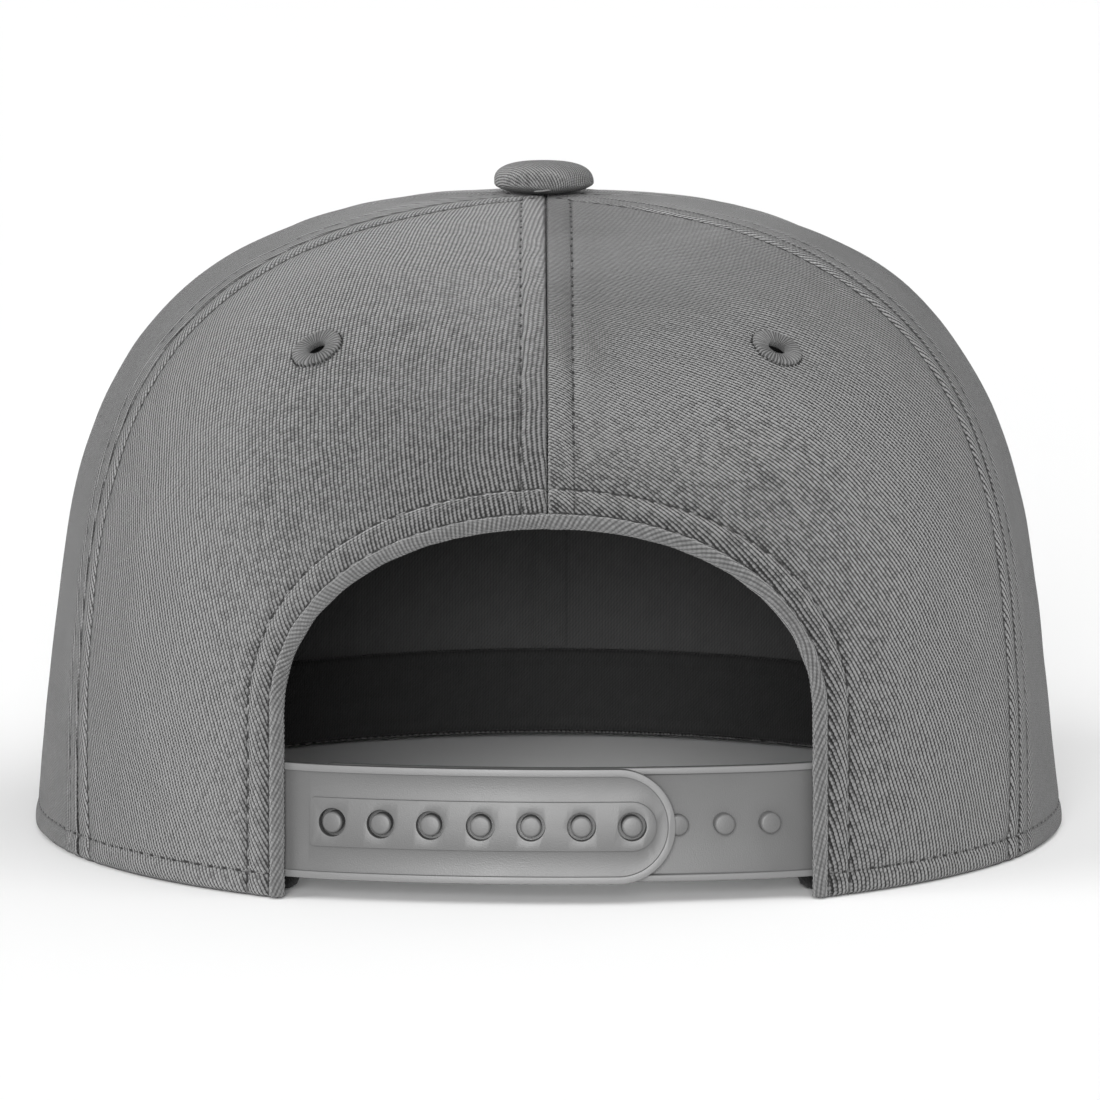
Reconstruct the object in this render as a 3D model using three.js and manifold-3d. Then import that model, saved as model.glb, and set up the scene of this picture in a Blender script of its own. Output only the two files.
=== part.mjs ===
// A six panel twill snapback cap, standing on its rim and visor.
// Millimetres and degrees. +Z is up, the visor points to +Y and the snap strap faces -Y.
// A plan angle is measured about the crown's axis from the rear: 0 rear, 90 right side, 180 front.
import * as THREE from "three";
import { mergeVertices } from "three/addons/utils/BufferGeometryUtils.js";
import Module from "manifold-3d";

// Crown
const rimWidth = 187;
const rearReach = 102.8; // from the crown's axis to the rear of the rim
const frontReach = 95.2;
const crownHeight = 113.6;
const crownLean = -0.5; // how far the top leans sideways
const clothWall = 1.6;
const seamGap = 0.3;
const apexHole = 2.4; // radius of the hole that the button's stem passes

// How each meridian of the crown runs: the share its wall leans in by,
// and how square it is on its way up and on its way in.
const sections = {
  rear: { lean: 0.055, rise: 3.35, round: 1.66 },
  side: { lean: 0.129, rise: 4.85, round: 2.54 },
  front: { lean: 0.019, rise: 2.95, round: 3.0 },
};

// Plan angle of each seam at the rim, half way up and at the button.
const seams = {
  rear: { rim: 0, middle: 0, top: 0 },
  rearSide: { rim: 59.6, middle: 65.6, top: 51 },
  frontSide: { rim: 119, middle: 116, top: 118 },
  front: { rim: 180, middle: 180, top: 180 },
};

// Arch over the strap
const archWidth = 89.2;
const archSpring = 31; // height where its sides begin to curve
const archTop = 63.4;
const archSquareness = 2.1;

// Visor
const visorReach = 70; // beyond the crown, at the middle
const visorFlare = 8.1; // how much further out it is at its widest than at its ends
const visorThickness = 3;
const visorBow = 1.4;
const visorSquareness = 2.4;
const visorHalfAngle = 62; // of the stretch of rim that it is sewn to
const visorWidest = 24; // how far ahead of its tips it is widest
const visorTip = 1; // how far its blunt ends stand out of the crown
const visorBlend = 13; // angle over which the rim steps up onto the visor

// Inside
const fitGap = 0.3; // between pieces that lie against each other
const liningWall = 1.2;
const liningReach = 0.84; // share of the way from rim to button
const tapeWidth = 7;
const tapeWall = 1;
const tapeReach = 0.9;
const sweatbandHeight = 14.9;
const sweatbandLift = 0.7; // of its lower edge
const sweatbandRise = 0.9; // how much higher that edge is round the front
const sweatbandRises = { from: 30, to: 90 }; // between these angles past the arch
const sweatbandWall = 1.2;
const sweatbandStep = 14; // angle over which its ends move in behind the strap
const sweatbandShort = 1.1; // angle by which its ends stop short of the arch

// Snap strap
const strapHeight = 19.3;
const strapLift = 3.4; // of its lower edge
const strapBase = 1.1;
const strapLip = 0.5; // how proud the lip stands
const strapLipWidth = 1.2;
const strapBulge = 6.5; // how far its middle stands behind its ends
const strapTuck = 9; // length sewn in behind each panel
const strapBend = 2; // how softly it turns in behind the cloth
const plateauHeight = 8.3;
const plateauRise = 0.4;
const pegPitch = 8.55;
const freePegPitch = 7.95; // of the pegs beyond the last hole
const pegCount = 10;
const holeCount = 7;
const firstPeg = -37.2; // along the strap from its middle
const pegRadius = 1.8;
const pegProud = 0.2; // beyond the plateau that it comes up through
const holeRadius = 2.55;
const strapEnd = 21.4; // along the strap to the free end of the one on top
const endSkin = 0.35; // thickness left over the peg that this end half covers

// Button
const buttonRadius = 9;
const buttonHeight = 5.7;
const buttonShift = -0.45; // sideways from the top of the crown
const buttonStem = 1.5;

// Eyelets
const eyeletRadius = 4.5;
const eyeletHole = 1.1;
const eyeletBarrel = 2.6;
const eyeletProud = 0.5;
const eyeletFlange = 0.7;
const eyeletSeat = 0.9; // to its inner ring, which the cloth curves in towards
const eyeletAt = 0.5175; // share of the way from rim to button
const eyeletAcross = { back: 0.523, side: 0.78, front: 0.5 }; // share of the panel's width, from the rear

const materials = {
  twill: new THREE.MeshStandardMaterial({ color: 0x868686, roughness: 0.9, metalness: 0 }),
  lining: new THREE.MeshStandardMaterial({ color: 0x2b2b2c, roughness: 0.9, metalness: 0 }),
  strap: new THREE.MeshStandardMaterial({ color: 0x8a8a8a, roughness: 0.5, metalness: 0 }),
  thread: new THREE.MeshStandardMaterial({ color: 0x8e8e8e, roughness: 0.7, metalness: 0 }),
};

const wasm = await Module();
wasm.setup();

const radians = THREE.MathUtils.degToRad;
const mix = THREE.MathUtils.lerp;
const smooth = THREE.MathUtils.smoothstep;

// Closed geometry to solid, and back.
function toSolid(geometry) {
  const bare = new THREE.BufferGeometry();
  bare.setAttribute("position", geometry.getAttribute("position"));
  if (geometry.index) bare.setIndex(geometry.index);
  const merged = mergeVertices(bare, 1e-4);
  const corners = merged.index.array;
  const kept = [];
  for (let i = 0; i < corners.length; i += 3) {
    const [a, b, c] = [corners[i], corners[i + 1], corners[i + 2]];
    if (a !== b && b !== c && c !== a) kept.push(a, b, c);
  }
  return new wasm.Manifold(new wasm.Mesh({
    numProp: 3,
    vertProperties: merged.attributes.position.array,
    triVerts: new Uint32Array(kept),
  }));
}

function toGeometry(solid) {
  const mesh = solid.getMesh();
  const geometry = new THREE.BufferGeometry();
  const places = new THREE.BufferAttribute(new Float32Array(mesh.vertProperties), 3);
  geometry.setAttribute("position", places);
  geometry.setIndex(new THREE.BufferAttribute(new Uint32Array(mesh.triVerts), 1));
  geometry.computeVertexNormals();
  return geometry;
}

// A closed slab between two surfaces, each a function of two shares from 0 to 1.
// front(u, v) is on the side that the turn from u to v faces.
function slab(columns, rows, front, back) {
  const places = [];
  const index = [];
  const stride = rows + 1;
  const layer = (columns + 1) * stride;
  for (const surface of [front, back]) {
    for (let i = 0; i <= columns; i++) {
      for (let j = 0; j <= rows; j++) places.push(...surface(i / columns, j / rows).toArray());
    }
  }
  const quad = (a, b, c, d) => index.push(a, b, c, a, c, d);
  for (let i = 0; i < columns; i++) {
    for (let j = 0; j < rows; j++) {
      const a = i * stride + j;
      quad(a, a + stride, a + stride + 1, a + 1);
      quad(layer + a, layer + a + 1, layer + a + stride + 1, layer + a + stride);
    }
  }
  for (let i = 0; i < columns; i++) {
    const low = i * stride;
    const high = low + rows;
    quad(low + stride, low, layer + low, layer + low + stride);
    quad(high, high + stride, layer + high + stride, layer + high);
  }
  for (let j = 0; j < rows; j++) {
    const first = j;
    const last = columns * stride + j;
    quad(first, first + 1, layer + first + 1, layer + first);
    quad(last + 1, last, layer + last, layer + last + 1);
  }
  const geometry = new THREE.BufferGeometry();
  geometry.setAttribute("position", new THREE.BufferAttribute(new Float32Array(places), 3));
  geometry.setIndex(index);
  return geometry;
}

// Crown surface

function rimRadius(angle) {
  const a = radians(angle);
  const reach = Math.cos(a) > 0 ? rearReach : frontReach;
  return 1 / Math.hypot(Math.sin(a) / (rimWidth / 2), Math.cos(a) / reach);
}

function sectionAt(angle) {
  const c = Math.cos(radians(angle));
  const end = c > 0 ? sections.rear : sections.front;
  const share = c * c;
  return {
    lean: mix(sections.side.lean, end.lean, share),
    rise: mix(sections.side.rise, end.rise, share),
    round: mix(sections.side.round, end.round, share),
  };
}

// Height of the visor's underside above the surface, at a place across the cap.
function visorBowAt(x) {
  const share = Math.min(1, Math.abs(x) / (rimWidth / 2));
  return visorBow * (1 - share * share);
}

// The rim steps up from the surface onto the visor.
function rimHeight(angle) {
  const fromFront = Math.abs(((angle % 360) + 360) % 360 - 180);
  const x = rimRadius(angle) * Math.sin(radians(angle));
  const over = 1 - smooth(fromFront, visorHalfAngle + visorBlend / 3, visorHalfAngle + visorBlend);
  return over * (visorBowAt(x) + visorThickness + fitGap);
}

// A point of the outer face: angle about the axis, and share of the way from rim to button.
function crownPoint(angle, share) {
  const { lean, rise, round } = sectionAt(angle);
  const sine = Math.sin(share * Math.PI / 2);
  const cosine = Math.cos(share * Math.PI / 2);
  let low = 0.5;
  let high = 1.5;
  for (let i = 0; i < 40; i++) {
    const k = (low + high) / 2;
    if ((k * sine) ** rise + (k * cosine) ** round < 1) low = k;
    else high = k;
  }
  const up = low * sine;
  const out = rimRadius(angle) * low * cosine * (1 - lean * up);
  const a = radians(angle);
  const z = mix(rimHeight(angle), crownHeight, up);
  return new THREE.Vector3(out * Math.sin(a) + crownLean * up * up, -out * Math.cos(a), z);
}

function crownNormal(angle, share) {
  const step = 0.004;
  const low = Math.max(0, share - step);
  const high = Math.min(0.995, share + step);
  const along = crownPoint(angle + 0.5, share).sub(crownPoint(angle - 0.5, share));
  const upward = crownPoint(angle, high).sub(crownPoint(angle, low));
  return along.cross(upward).normalize();
}

// A point at a depth inside the outer face. The rim's edge is level.
function crownInside(angle, share, depth) {
  const point = crownPoint(angle, share);
  const edge = point.z;
  point.addScaledVector(crownNormal(angle, share), -depth);
  return share > 0 ? point : point.setZ(edge);
}

// The share of the way up at which a meridian reaches a height.
function shareAtHeight(angle, height) {
  let low = 0;
  let high = 1;
  for (let i = 0; i < 30; i++) {
    const middle = (low + high) / 2;
    if (crownPoint(angle, middle).z < height) low = middle;
    else high = middle;
  }
  return low;
}

// The share at which a meridian has come in to a radius.
function shareAtRadius(angle, radius) {
  let low = 0;
  let high = 1;
  for (let i = 0; i < 30; i++) {
    const middle = (low + high) / 2;
    const { x, y, z } = crownPoint(angle, middle);
    const lean = crownLean * (z / crownHeight) ** 2;
    if (Math.hypot(x - lean, y) > radius) low = middle;
    else high = middle;
  }
  return low;
}

function seamAngle(seam, share) {
  const straight = mix(seam.rim, seam.top, share);
  const bulge = seam.middle - (seam.rim + seam.top) / 2;
  return straight + bulge * 4 * share * (1 - share);
}

// The same angle moved sideways along the cloth by a distance.
function angleBeside(angle, share, distance) {
  const ahead = crownPoint(angle + 0.5, share);
  const behind = crownPoint(angle - 0.5, share);
  return angle + distance / ahead.distanceTo(behind);
}

// A wall of the crown between two seams, over a stretch of shares of the way up.
function crownWall(fromSeam, toSeam, { depth, thickness, inset, start, end, columns, rows }) {
  const surface = (at) => (u, v) => {
    const share = mix(start, end, v);
    const first = angleBeside(seamAngle(fromSeam, share), share, inset);
    const last = angleBeside(seamAngle(toSeam, share), share, -inset);
    return crownInside(mix(first, last, u), share, at);
  };
  return toSolid(slab(columns, rows, surface(depth), surface(depth + thickness)));
}

const turned = (seam, turn) => ({ rim: turn - seam.rim, middle: turn - seam.middle, top: turn - seam.top });

function panelSolid(fromSeam, toSeam) {
  const middle = (fromSeam.rim + toSeam.rim) / 2;
  return crownWall(fromSeam, toSeam, {
    depth: 0,
    thickness: clothWall,
    inset: seamGap / 2,
    start: 0,
    end: shareAtRadius(middle, apexHole),
    columns: 10,
    rows: 14,
  });
}

// What is cut out of the back panels above the strap.
function archCutter() {
  const half = archWidth / 2;
  const steps = 28;
  const shape = new THREE.Shape();
  shape.moveTo(half, -clothWall);
  for (let i = 0; i <= steps; i++) {
    const turn = Math.PI * i / steps;
    const out = Math.sign(Math.cos(turn)) * Math.abs(Math.cos(turn)) ** (2 / archSquareness);
    const up = Math.sin(turn) ** (2 / archSquareness);
    shape.lineTo(half * out, mix(archSpring, archTop, up));
  }
  shape.lineTo(-half, -clothWall);
  const geometry = new THREE.ExtrudeGeometry(shape, { depth: rearReach, bevelEnabled: false });
  return toSolid(geometry.rotateX(Math.PI / 2).translate(0, -rearReach / 2, 0));
}

// A round bar or hole along a direction, centred on a point.
function bar(point, direction, radius, length, sides) {
  const geometry = new THREE.CylinderGeometry(radius, radius, length, sides);
  const turn = new THREE.Quaternion().setFromUnitVectors(new THREE.Vector3(0, 1, 0), direction);
  return toSolid(geometry.applyQuaternion(turn).translate(...point.toArray()));
}

const eyeletHoleFor = (angle) => bar(
  crownPoint(angle, eyeletAt), crownNormal(angle, eyeletAt), eyeletBarrel + fitGap,
  2 * (clothWall + liningWall) + 2 * eyeletRadius, 16);

// A stitched ring on the outer face, a barrel through the cloth and a smaller ring inside.
function eyeletGeometry(angle, wall) {
  const inner = -wall - eyeletSeat;
  const profile = [
    [eyeletHole, inner - eyeletFlange],
    [eyeletBarrel + eyeletFlange, inner - eyeletFlange],
    [eyeletBarrel + eyeletFlange, inner],
    [eyeletBarrel, inner],
    [eyeletBarrel, fitGap],
    [eyeletRadius, fitGap],
    [eyeletRadius, fitGap + eyeletProud * 0.5],
    [(eyeletRadius + eyeletHole) / 2, fitGap + eyeletProud * 1.6],
    [eyeletHole, fitGap + eyeletProud],
    [eyeletHole, inner - eyeletFlange],
  ].map(([x, y]) => new THREE.Vector2(x, y));
  const up = new THREE.Vector3(0, 1, 0);
  const turn = new THREE.Quaternion().setFromUnitVectors(up, crownNormal(angle, eyeletAt));
  return toGeometry(toSolid(new THREE.LatheGeometry(profile, 12).applyQuaternion(turn)));
}

// Cloth over a domed shell, on a stem that passes the hole at the top of the crown.
function buttonGeometry() {
  const under = -clothWall - fitGap;
  const profile = [
    [0, under - 1],
    [buttonStem * 2, under - 1],
    [buttonStem * 2, under],
    [buttonStem, under],
    [buttonStem, fitGap],
    [buttonRadius * 0.92, fitGap],
    [buttonRadius, fitGap + buttonHeight * 0.2],
    [buttonRadius * 0.99, fitGap + buttonHeight * 0.4],
    [buttonRadius * 0.92, fitGap + buttonHeight * 0.62],
    [buttonRadius * 0.76, fitGap + buttonHeight * 0.82],
    [buttonRadius * 0.5, fitGap + buttonHeight * 0.94],
    [buttonRadius * 0.24, fitGap + buttonHeight * 0.99],
    [0, fitGap + buttonHeight],
  ].map(([x, y]) => new THREE.Vector2(x, y));
  return toGeometry(toSolid(new THREE.LatheGeometry(profile, 20).rotateX(Math.PI / 2)));
}

// A narrow tape inside the crown along a seam.
function tapeGeometry(seam, start, depth) {
  const surface = (at) => (u, v) => {
    const share = mix(start, tapeReach, v);
    const angle = angleBeside(seamAngle(seam, share), share, (u - 0.5) * tapeWidth);
    return crownInside(angle, share, at);
  };
  return toGeometry(toSolid(slab(2, 10, surface(depth), surface(depth + tapeWall))));
}

// Snap strap. Its straps are laid out flat, then wrapped onto a line behind the back panels.

const archHalf = archWidth / 2;
const archDepth = rearReach * Math.sqrt(1 - (archHalf / (rimWidth / 2)) ** 2);
const archAngle = THREE.MathUtils.radToDeg(Math.atan2(archHalf, archDepth));
const strapThickness = strapBase + strapLip;
const strapMiddle = strapLift + strapHeight / 2;
const strapTop = strapLift + strapHeight;
const strapLayer = strapThickness + fitGap;

// How much the crown's wall leans in for each millimetre of height beside the strap.
const wallLean = (() => {
  const high = crownPoint(archAngle, shareAtHeight(archAngle, strapTop));
  return (rimRadius(archAngle) - Math.hypot(high.x, high.y)) / strapTop;
})();

// The line that the strap's outer face follows at the surface: a flat arc across the opening,
// and then close behind the cloth.
class StrapLine extends THREE.Curve {
  getPoint(share, target = new THREE.Vector3()) {
    const reach = archAngle * 1.5;
    const angle = mix(-reach, reach, share);
    const a = radians(angle);
    const seat = archDepth - clothWall - fitGap;
    const radius = (archHalf ** 2 + strapBulge ** 2) / (2 * strapBulge);
    const centre = radius - seat - strapBulge;
    const arc = Math.sqrt(radius ** 2 - (centre * Math.sin(a)) ** 2) - centre * Math.cos(a);
    const cloth = rimRadius(angle) - clothWall - fitGap;

    const h = THREE.MathUtils.clamp(0.5 + (cloth - arc) / (2 * strapBend), 0, 1);
    const out = mix(cloth, arc, h) - strapBend * h * (1 - h);
    return target.set(out * Math.sin(a), -out * Math.cos(a), 0);
  }
}
const strapLine = new StrapLine();
const strapLineLength = strapLine.getLength();

const upward = new THREE.Vector3(0, 0, 1);
const strapOutward = (along) => strapLine.getTangentAt(0.5 + along / strapLineLength).cross(upward);

// A place on the strap: along it from its middle, above the surface, and out from its face.
// The two straps cross over, so each one's sewn end lies against its panel.
function strapPoint(along, height, out) {
  const over = THREE.MathUtils.clamp((along + archHalf) / archWidth, 0, 1) * strapLayer;
  const point = strapLine.getPointAt(0.5 + along / strapLineLength);
  point.addScaledVector(strapOutward(along), out + over - wallLean * height);
  return point.setZ(height);
}

// Places along a strip with its half height at each, with square or round ends.
function strip(start, end, half, roundStart, roundEnd) {
  const places = [];
  const turns = 7;
  for (let i = 0; i < turns && roundStart; i++) {
    const turn = Math.PI / 2 * (i / turns);
    places.push([start + roundStart * (1 - Math.cos(turn)), half * Math.sin(turn)]);
  }
  const from = start + roundStart;
  const to = end - roundEnd;
  const steps = Math.max(1, Math.round((to - from) / 6));
  for (let i = 0; i <= steps; i++) places.push([mix(from, to, i / steps), half]);
  for (let i = turns - 1; i >= 0 && roundEnd; i--) {
    const turn = Math.PI / 2 * (i / turns);
    places.push([end - roundEnd * (1 - Math.cos(turn)), half * Math.sin(turn)]);
  }
  return places;
}

function stripSolid(places, low, high) {
  const columns = places.length - 1;
  const surface = (out) => (u, v) => {
    const [along, half] = places[Math.round(u * columns)];
    return strapPoint(along, strapMiddle + half * (2 * v - 1), out);
  };
  return toSolid(slab(columns, 1, surface(high), surface(low)));
}

// A strap with a lip round three sides. roundStart or roundEnd is its free end.
function lippedStrip(start, end, roundStart, roundEnd, face) {
  const half = strapHeight / 2;
  const insetStart = roundStart ? strapLipWidth : -strapLipWidth;
  const insetEnd = roundEnd ? strapLipWidth : -strapLipWidth;
  const body = stripSolid(strip(start, end, half, roundStart, roundEnd), face - strapThickness, face);
  const pan = stripSolid(
    strip(start + insetStart, end - insetEnd, half - strapLipWidth,
      roundStart && roundStart - strapLipWidth, roundEnd && roundEnd - strapLipWidth),
    face - strapLip, face + strapLip);
  return body.subtract(pan);
}

const lastHole = firstPeg + (holeCount - 1) * pegPitch;
const pegAt = (i) => i < holeCount ? firstPeg + i * pegPitch : lastHole + (i - holeCount + 1) * freePegPitch;
const strapBar = (along, low, high, radius, sides) => bar(
  strapPoint(along, strapMiddle, (low + high) / 2), strapOutward(along), radius, high - low, sides);

function strapWithHoles() {
  const floor = -strapLip;
  const plateau = strip(
    pegAt(0) - plateauHeight / 2, lastHole + plateauHeight / 2, plateauHeight / 2,
    0, plateauHeight / 2);
  let solid = lippedStrip(-archHalf - strapTuck, strapEnd, 0, strapHeight / 2, 0)
    .add(stripSolid(plateau, floor - strapBase / 2, floor + plateauRise));
  for (let i = 0; i < holeCount; i++) {
    solid = solid.subtract(strapBar(pegAt(i), -strapThickness - 1, 1, holeRadius, 14));
  }
  const recess = strapBar(pegAt(holeCount), -strapThickness - 1, -endSkin, pegRadius + fitGap, 14);
  solid = solid.subtract(recess);
  return toGeometry(solid);
}

function strapWithPegs() {
  const face = -strapLayer;
  const start = -archHalf + fitGap;
  let solid = lippedStrip(start, archHalf + strapTuck, strapHeight * 0.35, 0, face);
  for (let i = 0; i < pegCount; i++) {
    const top = i === holeCount ? -endSkin - fitGap : pegProud - strapLip + plateauRise;
    solid = solid.add(strapBar(pegAt(i), face - strapThickness / 2, top, pegRadius, 10));
  }
  return toGeometry(solid);
}

// The dark band inside the rim, from one side of the arch round the front to the other.
function sweatbandGeometry() {
  const start = archAngle + sweatbandShort;
  const usual = clothWall + liningWall + 2 * fitGap + 0.2;
  const behindStrap = clothWall + 2 * strapThickness + 4 * fitGap + strapBend / 2;
  const clear = THREE.MathUtils.radToDeg((strapTuck + 4) / rimRadius(archAngle));
  const surface = (more) => (u, v) => {
    const angle = mix(start, 360 - start, u);
    const fromArch = Math.min(angle, 360 - angle) - archAngle;
    const away = smooth(fromArch, clear, clear + sweatbandStep);
    const depth = mix(behindStrap, usual, away) + more;
    const x = rimRadius(angle) * Math.sin(radians(angle));
    const visorRise = Math.cos(radians(angle)) < 0 ? visorBowAt(x) : 0;
    const rise = sweatbandRise * smooth(fromArch, sweatbandRises.from, sweatbandRises.to) + visorRise;
    const z = sweatbandLift + rise + v * sweatbandHeight;
    const out = rimRadius(angle) - depth - wallLean * (z + 1);
    return new THREE.Vector3(out * Math.sin(radians(angle)), -out * Math.cos(radians(angle)), z);
  };
  return toGeometry(toSolid(slab(46, 1, surface(0), surface(sweatbandWall))));
}

// Visor: a flat board in cloth whose inner edge is sewn under the crown's front.
function visorGeometry() {
  const seat = clothWall + fitGap + liningWall;
  const tipAngle = 180 - visorHalfAngle;
  const tipX = rimRadius(tipAngle) * Math.sin(radians(tipAngle)) + visorTip;
  const tipY = -rimRadius(tipAngle) * Math.cos(radians(tipAngle));
  const half = tipX + visorFlare;
  const power = 2 / visorSquareness;
  const tipTurn = Math.acos((tipX / half) ** (1 / power));
  const widestY = tipY + visorWidest;
  const back = visorWidest / Math.sin(tipTurn) ** power;
  const front = frontReach + visorReach - widestY;
  const outline = (u) => {
    const side = u < 0.5 ? 1 : -1;
    const turn = mix(-tipTurn, Math.PI / 2, 1 - Math.abs(2 * u - 1));
    const x = side * half * Math.max(0, Math.cos(turn)) ** power;
    const along = Math.abs(Math.sin(turn)) ** power;
    return [x, turn < 0 ? widestY - back * along : widestY + front * along];
  };
  const surface = (up) => (u, v) => {
    const angle = mix(tipAngle, 360 - tipAngle, u);
    const radius = rimRadius(angle) - seat;
    const [x, y] = outline(u);
    const across = mix(radius * Math.sin(radians(angle)), x, v);
    const ahead = mix(-radius * Math.cos(radians(angle)), y, v);
    return new THREE.Vector3(across, ahead, visorBowAt(across) + up);
  };
  return toGeometry(toSolid(slab(36, 2, surface(0), surface(visorThickness))));
}

// Assembly

const cap = new THREE.Group();

function addPiece(name, geometry, material) {
  const piece = new THREE.Mesh(geometry, material);
  piece.name = name;
  cap.add(piece);
  return piece;
}

const arch = archCutter();
const frontWall = clothWall + fitGap + liningWall;
const panels = [
  { name: "back", from: seams.rear, to: seams.rearSide, wall: clothWall },
  { name: "side", from: seams.rearSide, to: seams.frontSide, wall: clothWall },
  { name: "front", from: seams.frontSide, to: seams.front, wall: frontWall },
];
const sides = [
  { name: "right", sign: 1 },
  { name: "left", sign: -1 },
];
const lining = { holes: [] };
for (const side of sides) {
  for (const panel of panels) {
    const first = side.sign > 0 ? panel.from : turned(panel.to, 0);
    const last = side.sign > 0 ? panel.to : turned(panel.from, 0);
    const [from, to] = [seamAngle(panel.from, eyeletAt), seamAngle(panel.to, eyeletAt)];
    const across = mix(from, to, eyeletAcross[panel.name]);
    const angle = side.sign * across;
    const hole = eyeletHoleFor(angle);
    let solid = panelSolid(first, last).subtract(hole);
    if (panel.name === "back") solid = solid.subtract(arch);
    if (panel.name === "front") lining.holes.push(hole);
    addPiece(panel.name + "_panel_" + side.name, toGeometry(solid), materials.twill);
    const eyelet = addPiece(
      "eyelet_" + panel.name + "_" + side.name, eyeletGeometry(angle, panel.wall), materials.thread);
    eyelet.position.copy(crownPoint(angle, eyeletAt));
  }
}

let liningSolid = crownWall(seams.frontSide, turned(seams.frontSide, 360), {
  depth: clothWall + fitGap,
  thickness: liningWall,
  inset: tapeWidth / 2 + 2 * fitGap,
  start: 0,
  end: liningReach,
  columns: 20,
  rows: 12,
});
for (const hole of lining.holes) liningSolid = liningSolid.subtract(hole);
addPiece("front_lining", toGeometry(liningSolid), materials.lining);

const tapeStart = sweatbandHeight + sweatbandLift + sweatbandRise + visorBow + 4 * fitGap;
const tapes = [
  { name: "rear", seam: seams.rear, height: archTop + 2, depth: clothWall + fitGap },
  { name: "rear_right", seam: seams.rearSide, height: tapeStart, depth: clothWall + fitGap },
  { name: "rear_left", seam: turned(seams.rearSide, 0), height: tapeStart, depth: clothWall + fitGap },
  { name: "front_right", seam: seams.frontSide, height: tapeStart, depth: clothWall + fitGap },
  { name: "front_left", seam: turned(seams.frontSide, 0), height: tapeStart, depth: clothWall + fitGap },
  { name: "front", seam: seams.front, height: tapeStart, depth: frontWall + fitGap },
];
for (const { name, seam, height, depth } of tapes) {
  const start = shareAtHeight(seam.rim, height);
  addPiece("seam_tape_" + name, tapeGeometry(seam, start, depth), materials.lining);
}

addPiece("sweatband", sweatbandGeometry(), materials.lining);
addPiece("visor", visorGeometry(), materials.twill);
addPiece("strap_with_holes", strapWithHoles(), materials.strap);
addPiece("strap_with_pegs", strapWithPegs(), materials.strap);
const button = addPiece("button", buttonGeometry(), materials.twill);
button.position.set(crownLean + buttonShift, 0, crownHeight);

// The part's origin is under the middle of its outline.
const bounds = new THREE.Box3().setFromObject(cap);
cap.position.y = -(bounds.min.y + bounds.max.y) / 2;
cap.position.x = -(bounds.min.x + bounds.max.x) / 2;

export default cap;
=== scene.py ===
# A grey twill snapback cap seen from behind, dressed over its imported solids.
import math
import random
import bpy
import numpy as np
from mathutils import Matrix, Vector, noise


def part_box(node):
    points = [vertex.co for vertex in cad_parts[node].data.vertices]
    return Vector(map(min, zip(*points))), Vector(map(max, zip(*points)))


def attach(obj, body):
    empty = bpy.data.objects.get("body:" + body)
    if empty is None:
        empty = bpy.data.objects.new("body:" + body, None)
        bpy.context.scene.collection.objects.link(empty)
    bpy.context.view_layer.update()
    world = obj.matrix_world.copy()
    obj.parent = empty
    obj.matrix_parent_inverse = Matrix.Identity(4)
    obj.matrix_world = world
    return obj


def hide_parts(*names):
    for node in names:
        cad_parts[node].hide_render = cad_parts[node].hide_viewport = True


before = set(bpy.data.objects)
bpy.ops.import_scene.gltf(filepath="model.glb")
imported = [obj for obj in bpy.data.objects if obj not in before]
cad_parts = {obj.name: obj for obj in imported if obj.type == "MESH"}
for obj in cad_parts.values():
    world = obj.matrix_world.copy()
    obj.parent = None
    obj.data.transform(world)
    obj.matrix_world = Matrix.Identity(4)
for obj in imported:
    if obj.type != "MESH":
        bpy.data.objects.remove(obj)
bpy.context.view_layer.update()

axisY = 500 * (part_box("button")[0][1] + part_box("button")[1][1])  # the crown's axis, in mm like all below
scene = bpy.context.scene
random.seed(7)
print("frame loaded, crown axis at y", round(axisY, 2))

# crown surface: a plan angle from the rear (right is 90) and a share of the way up

crown = {
    "rimWidth": 187, "rearReach": 102.8, "frontReach": 95.2, "height": 113.6, "lean": -0.5,
    "rear": (0.055, 3.35, 1.66), "side": (0.129, 4.85, 2.54),  # lean, rise and rounding
    "front": (0.019, 2.95, 3.0),
    "top": 0.985,  # share at which the cloth ends under the button
}
seams = {
    "rear": (0, 0, 0), "rearSide": (59.6, 65.6, 51),
    "frontSide": (119, 116, 118), "front": (180, 180, 180),
}
visor = {
    "reach": 70, "flare": 8.1, "thickness": 3, "bow": 1.4, "squareness": 2.4, "halfAngle": 62,
    "widest": 24, "tip": 1, "blend": 13, "rows": 8, "rowGap": 6.2, "rowDepth": 0.12, "seat": 3.1, "ribs": 50,
}


def smooth(value, low, high):
    share = np.clip((value - low) / (high - low), 0, 1)
    return share * share * (3 - 2 * share)


def rimRadius(angle):
    a = np.radians(angle)
    reach = np.where(np.cos(a) > 0, crown["rearReach"], crown["frontReach"])
    return 1 / np.hypot(np.sin(a) / (crown["rimWidth"] / 2), np.cos(a) / reach)


def visorBowAt(x):
    return visor["bow"] * (1 - np.minimum(1, np.abs(x) / (crown["rimWidth"] / 2)) ** 2)


def rimHeight(angle):
    fromFront = np.abs(np.mod(angle, 360) - 180)
    x = rimRadius(angle) * np.sin(np.radians(angle))
    start = visor["halfAngle"] + visor["blend"] / 3
    over = 1 - smooth(fromFront, start, visor["halfAngle"] + visor["blend"])
    return over * (visorBowAt(x) + visor["thickness"] + 0.3)


# The place between low and high up to which a test holds.
def bisect(holds, low, high, steps):
    for step in range(steps):
        middle = (low + high) / 2
        held = holds(middle)
        low, high = np.where(held, middle, low), np.where(held, high, middle)
    return low


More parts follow.
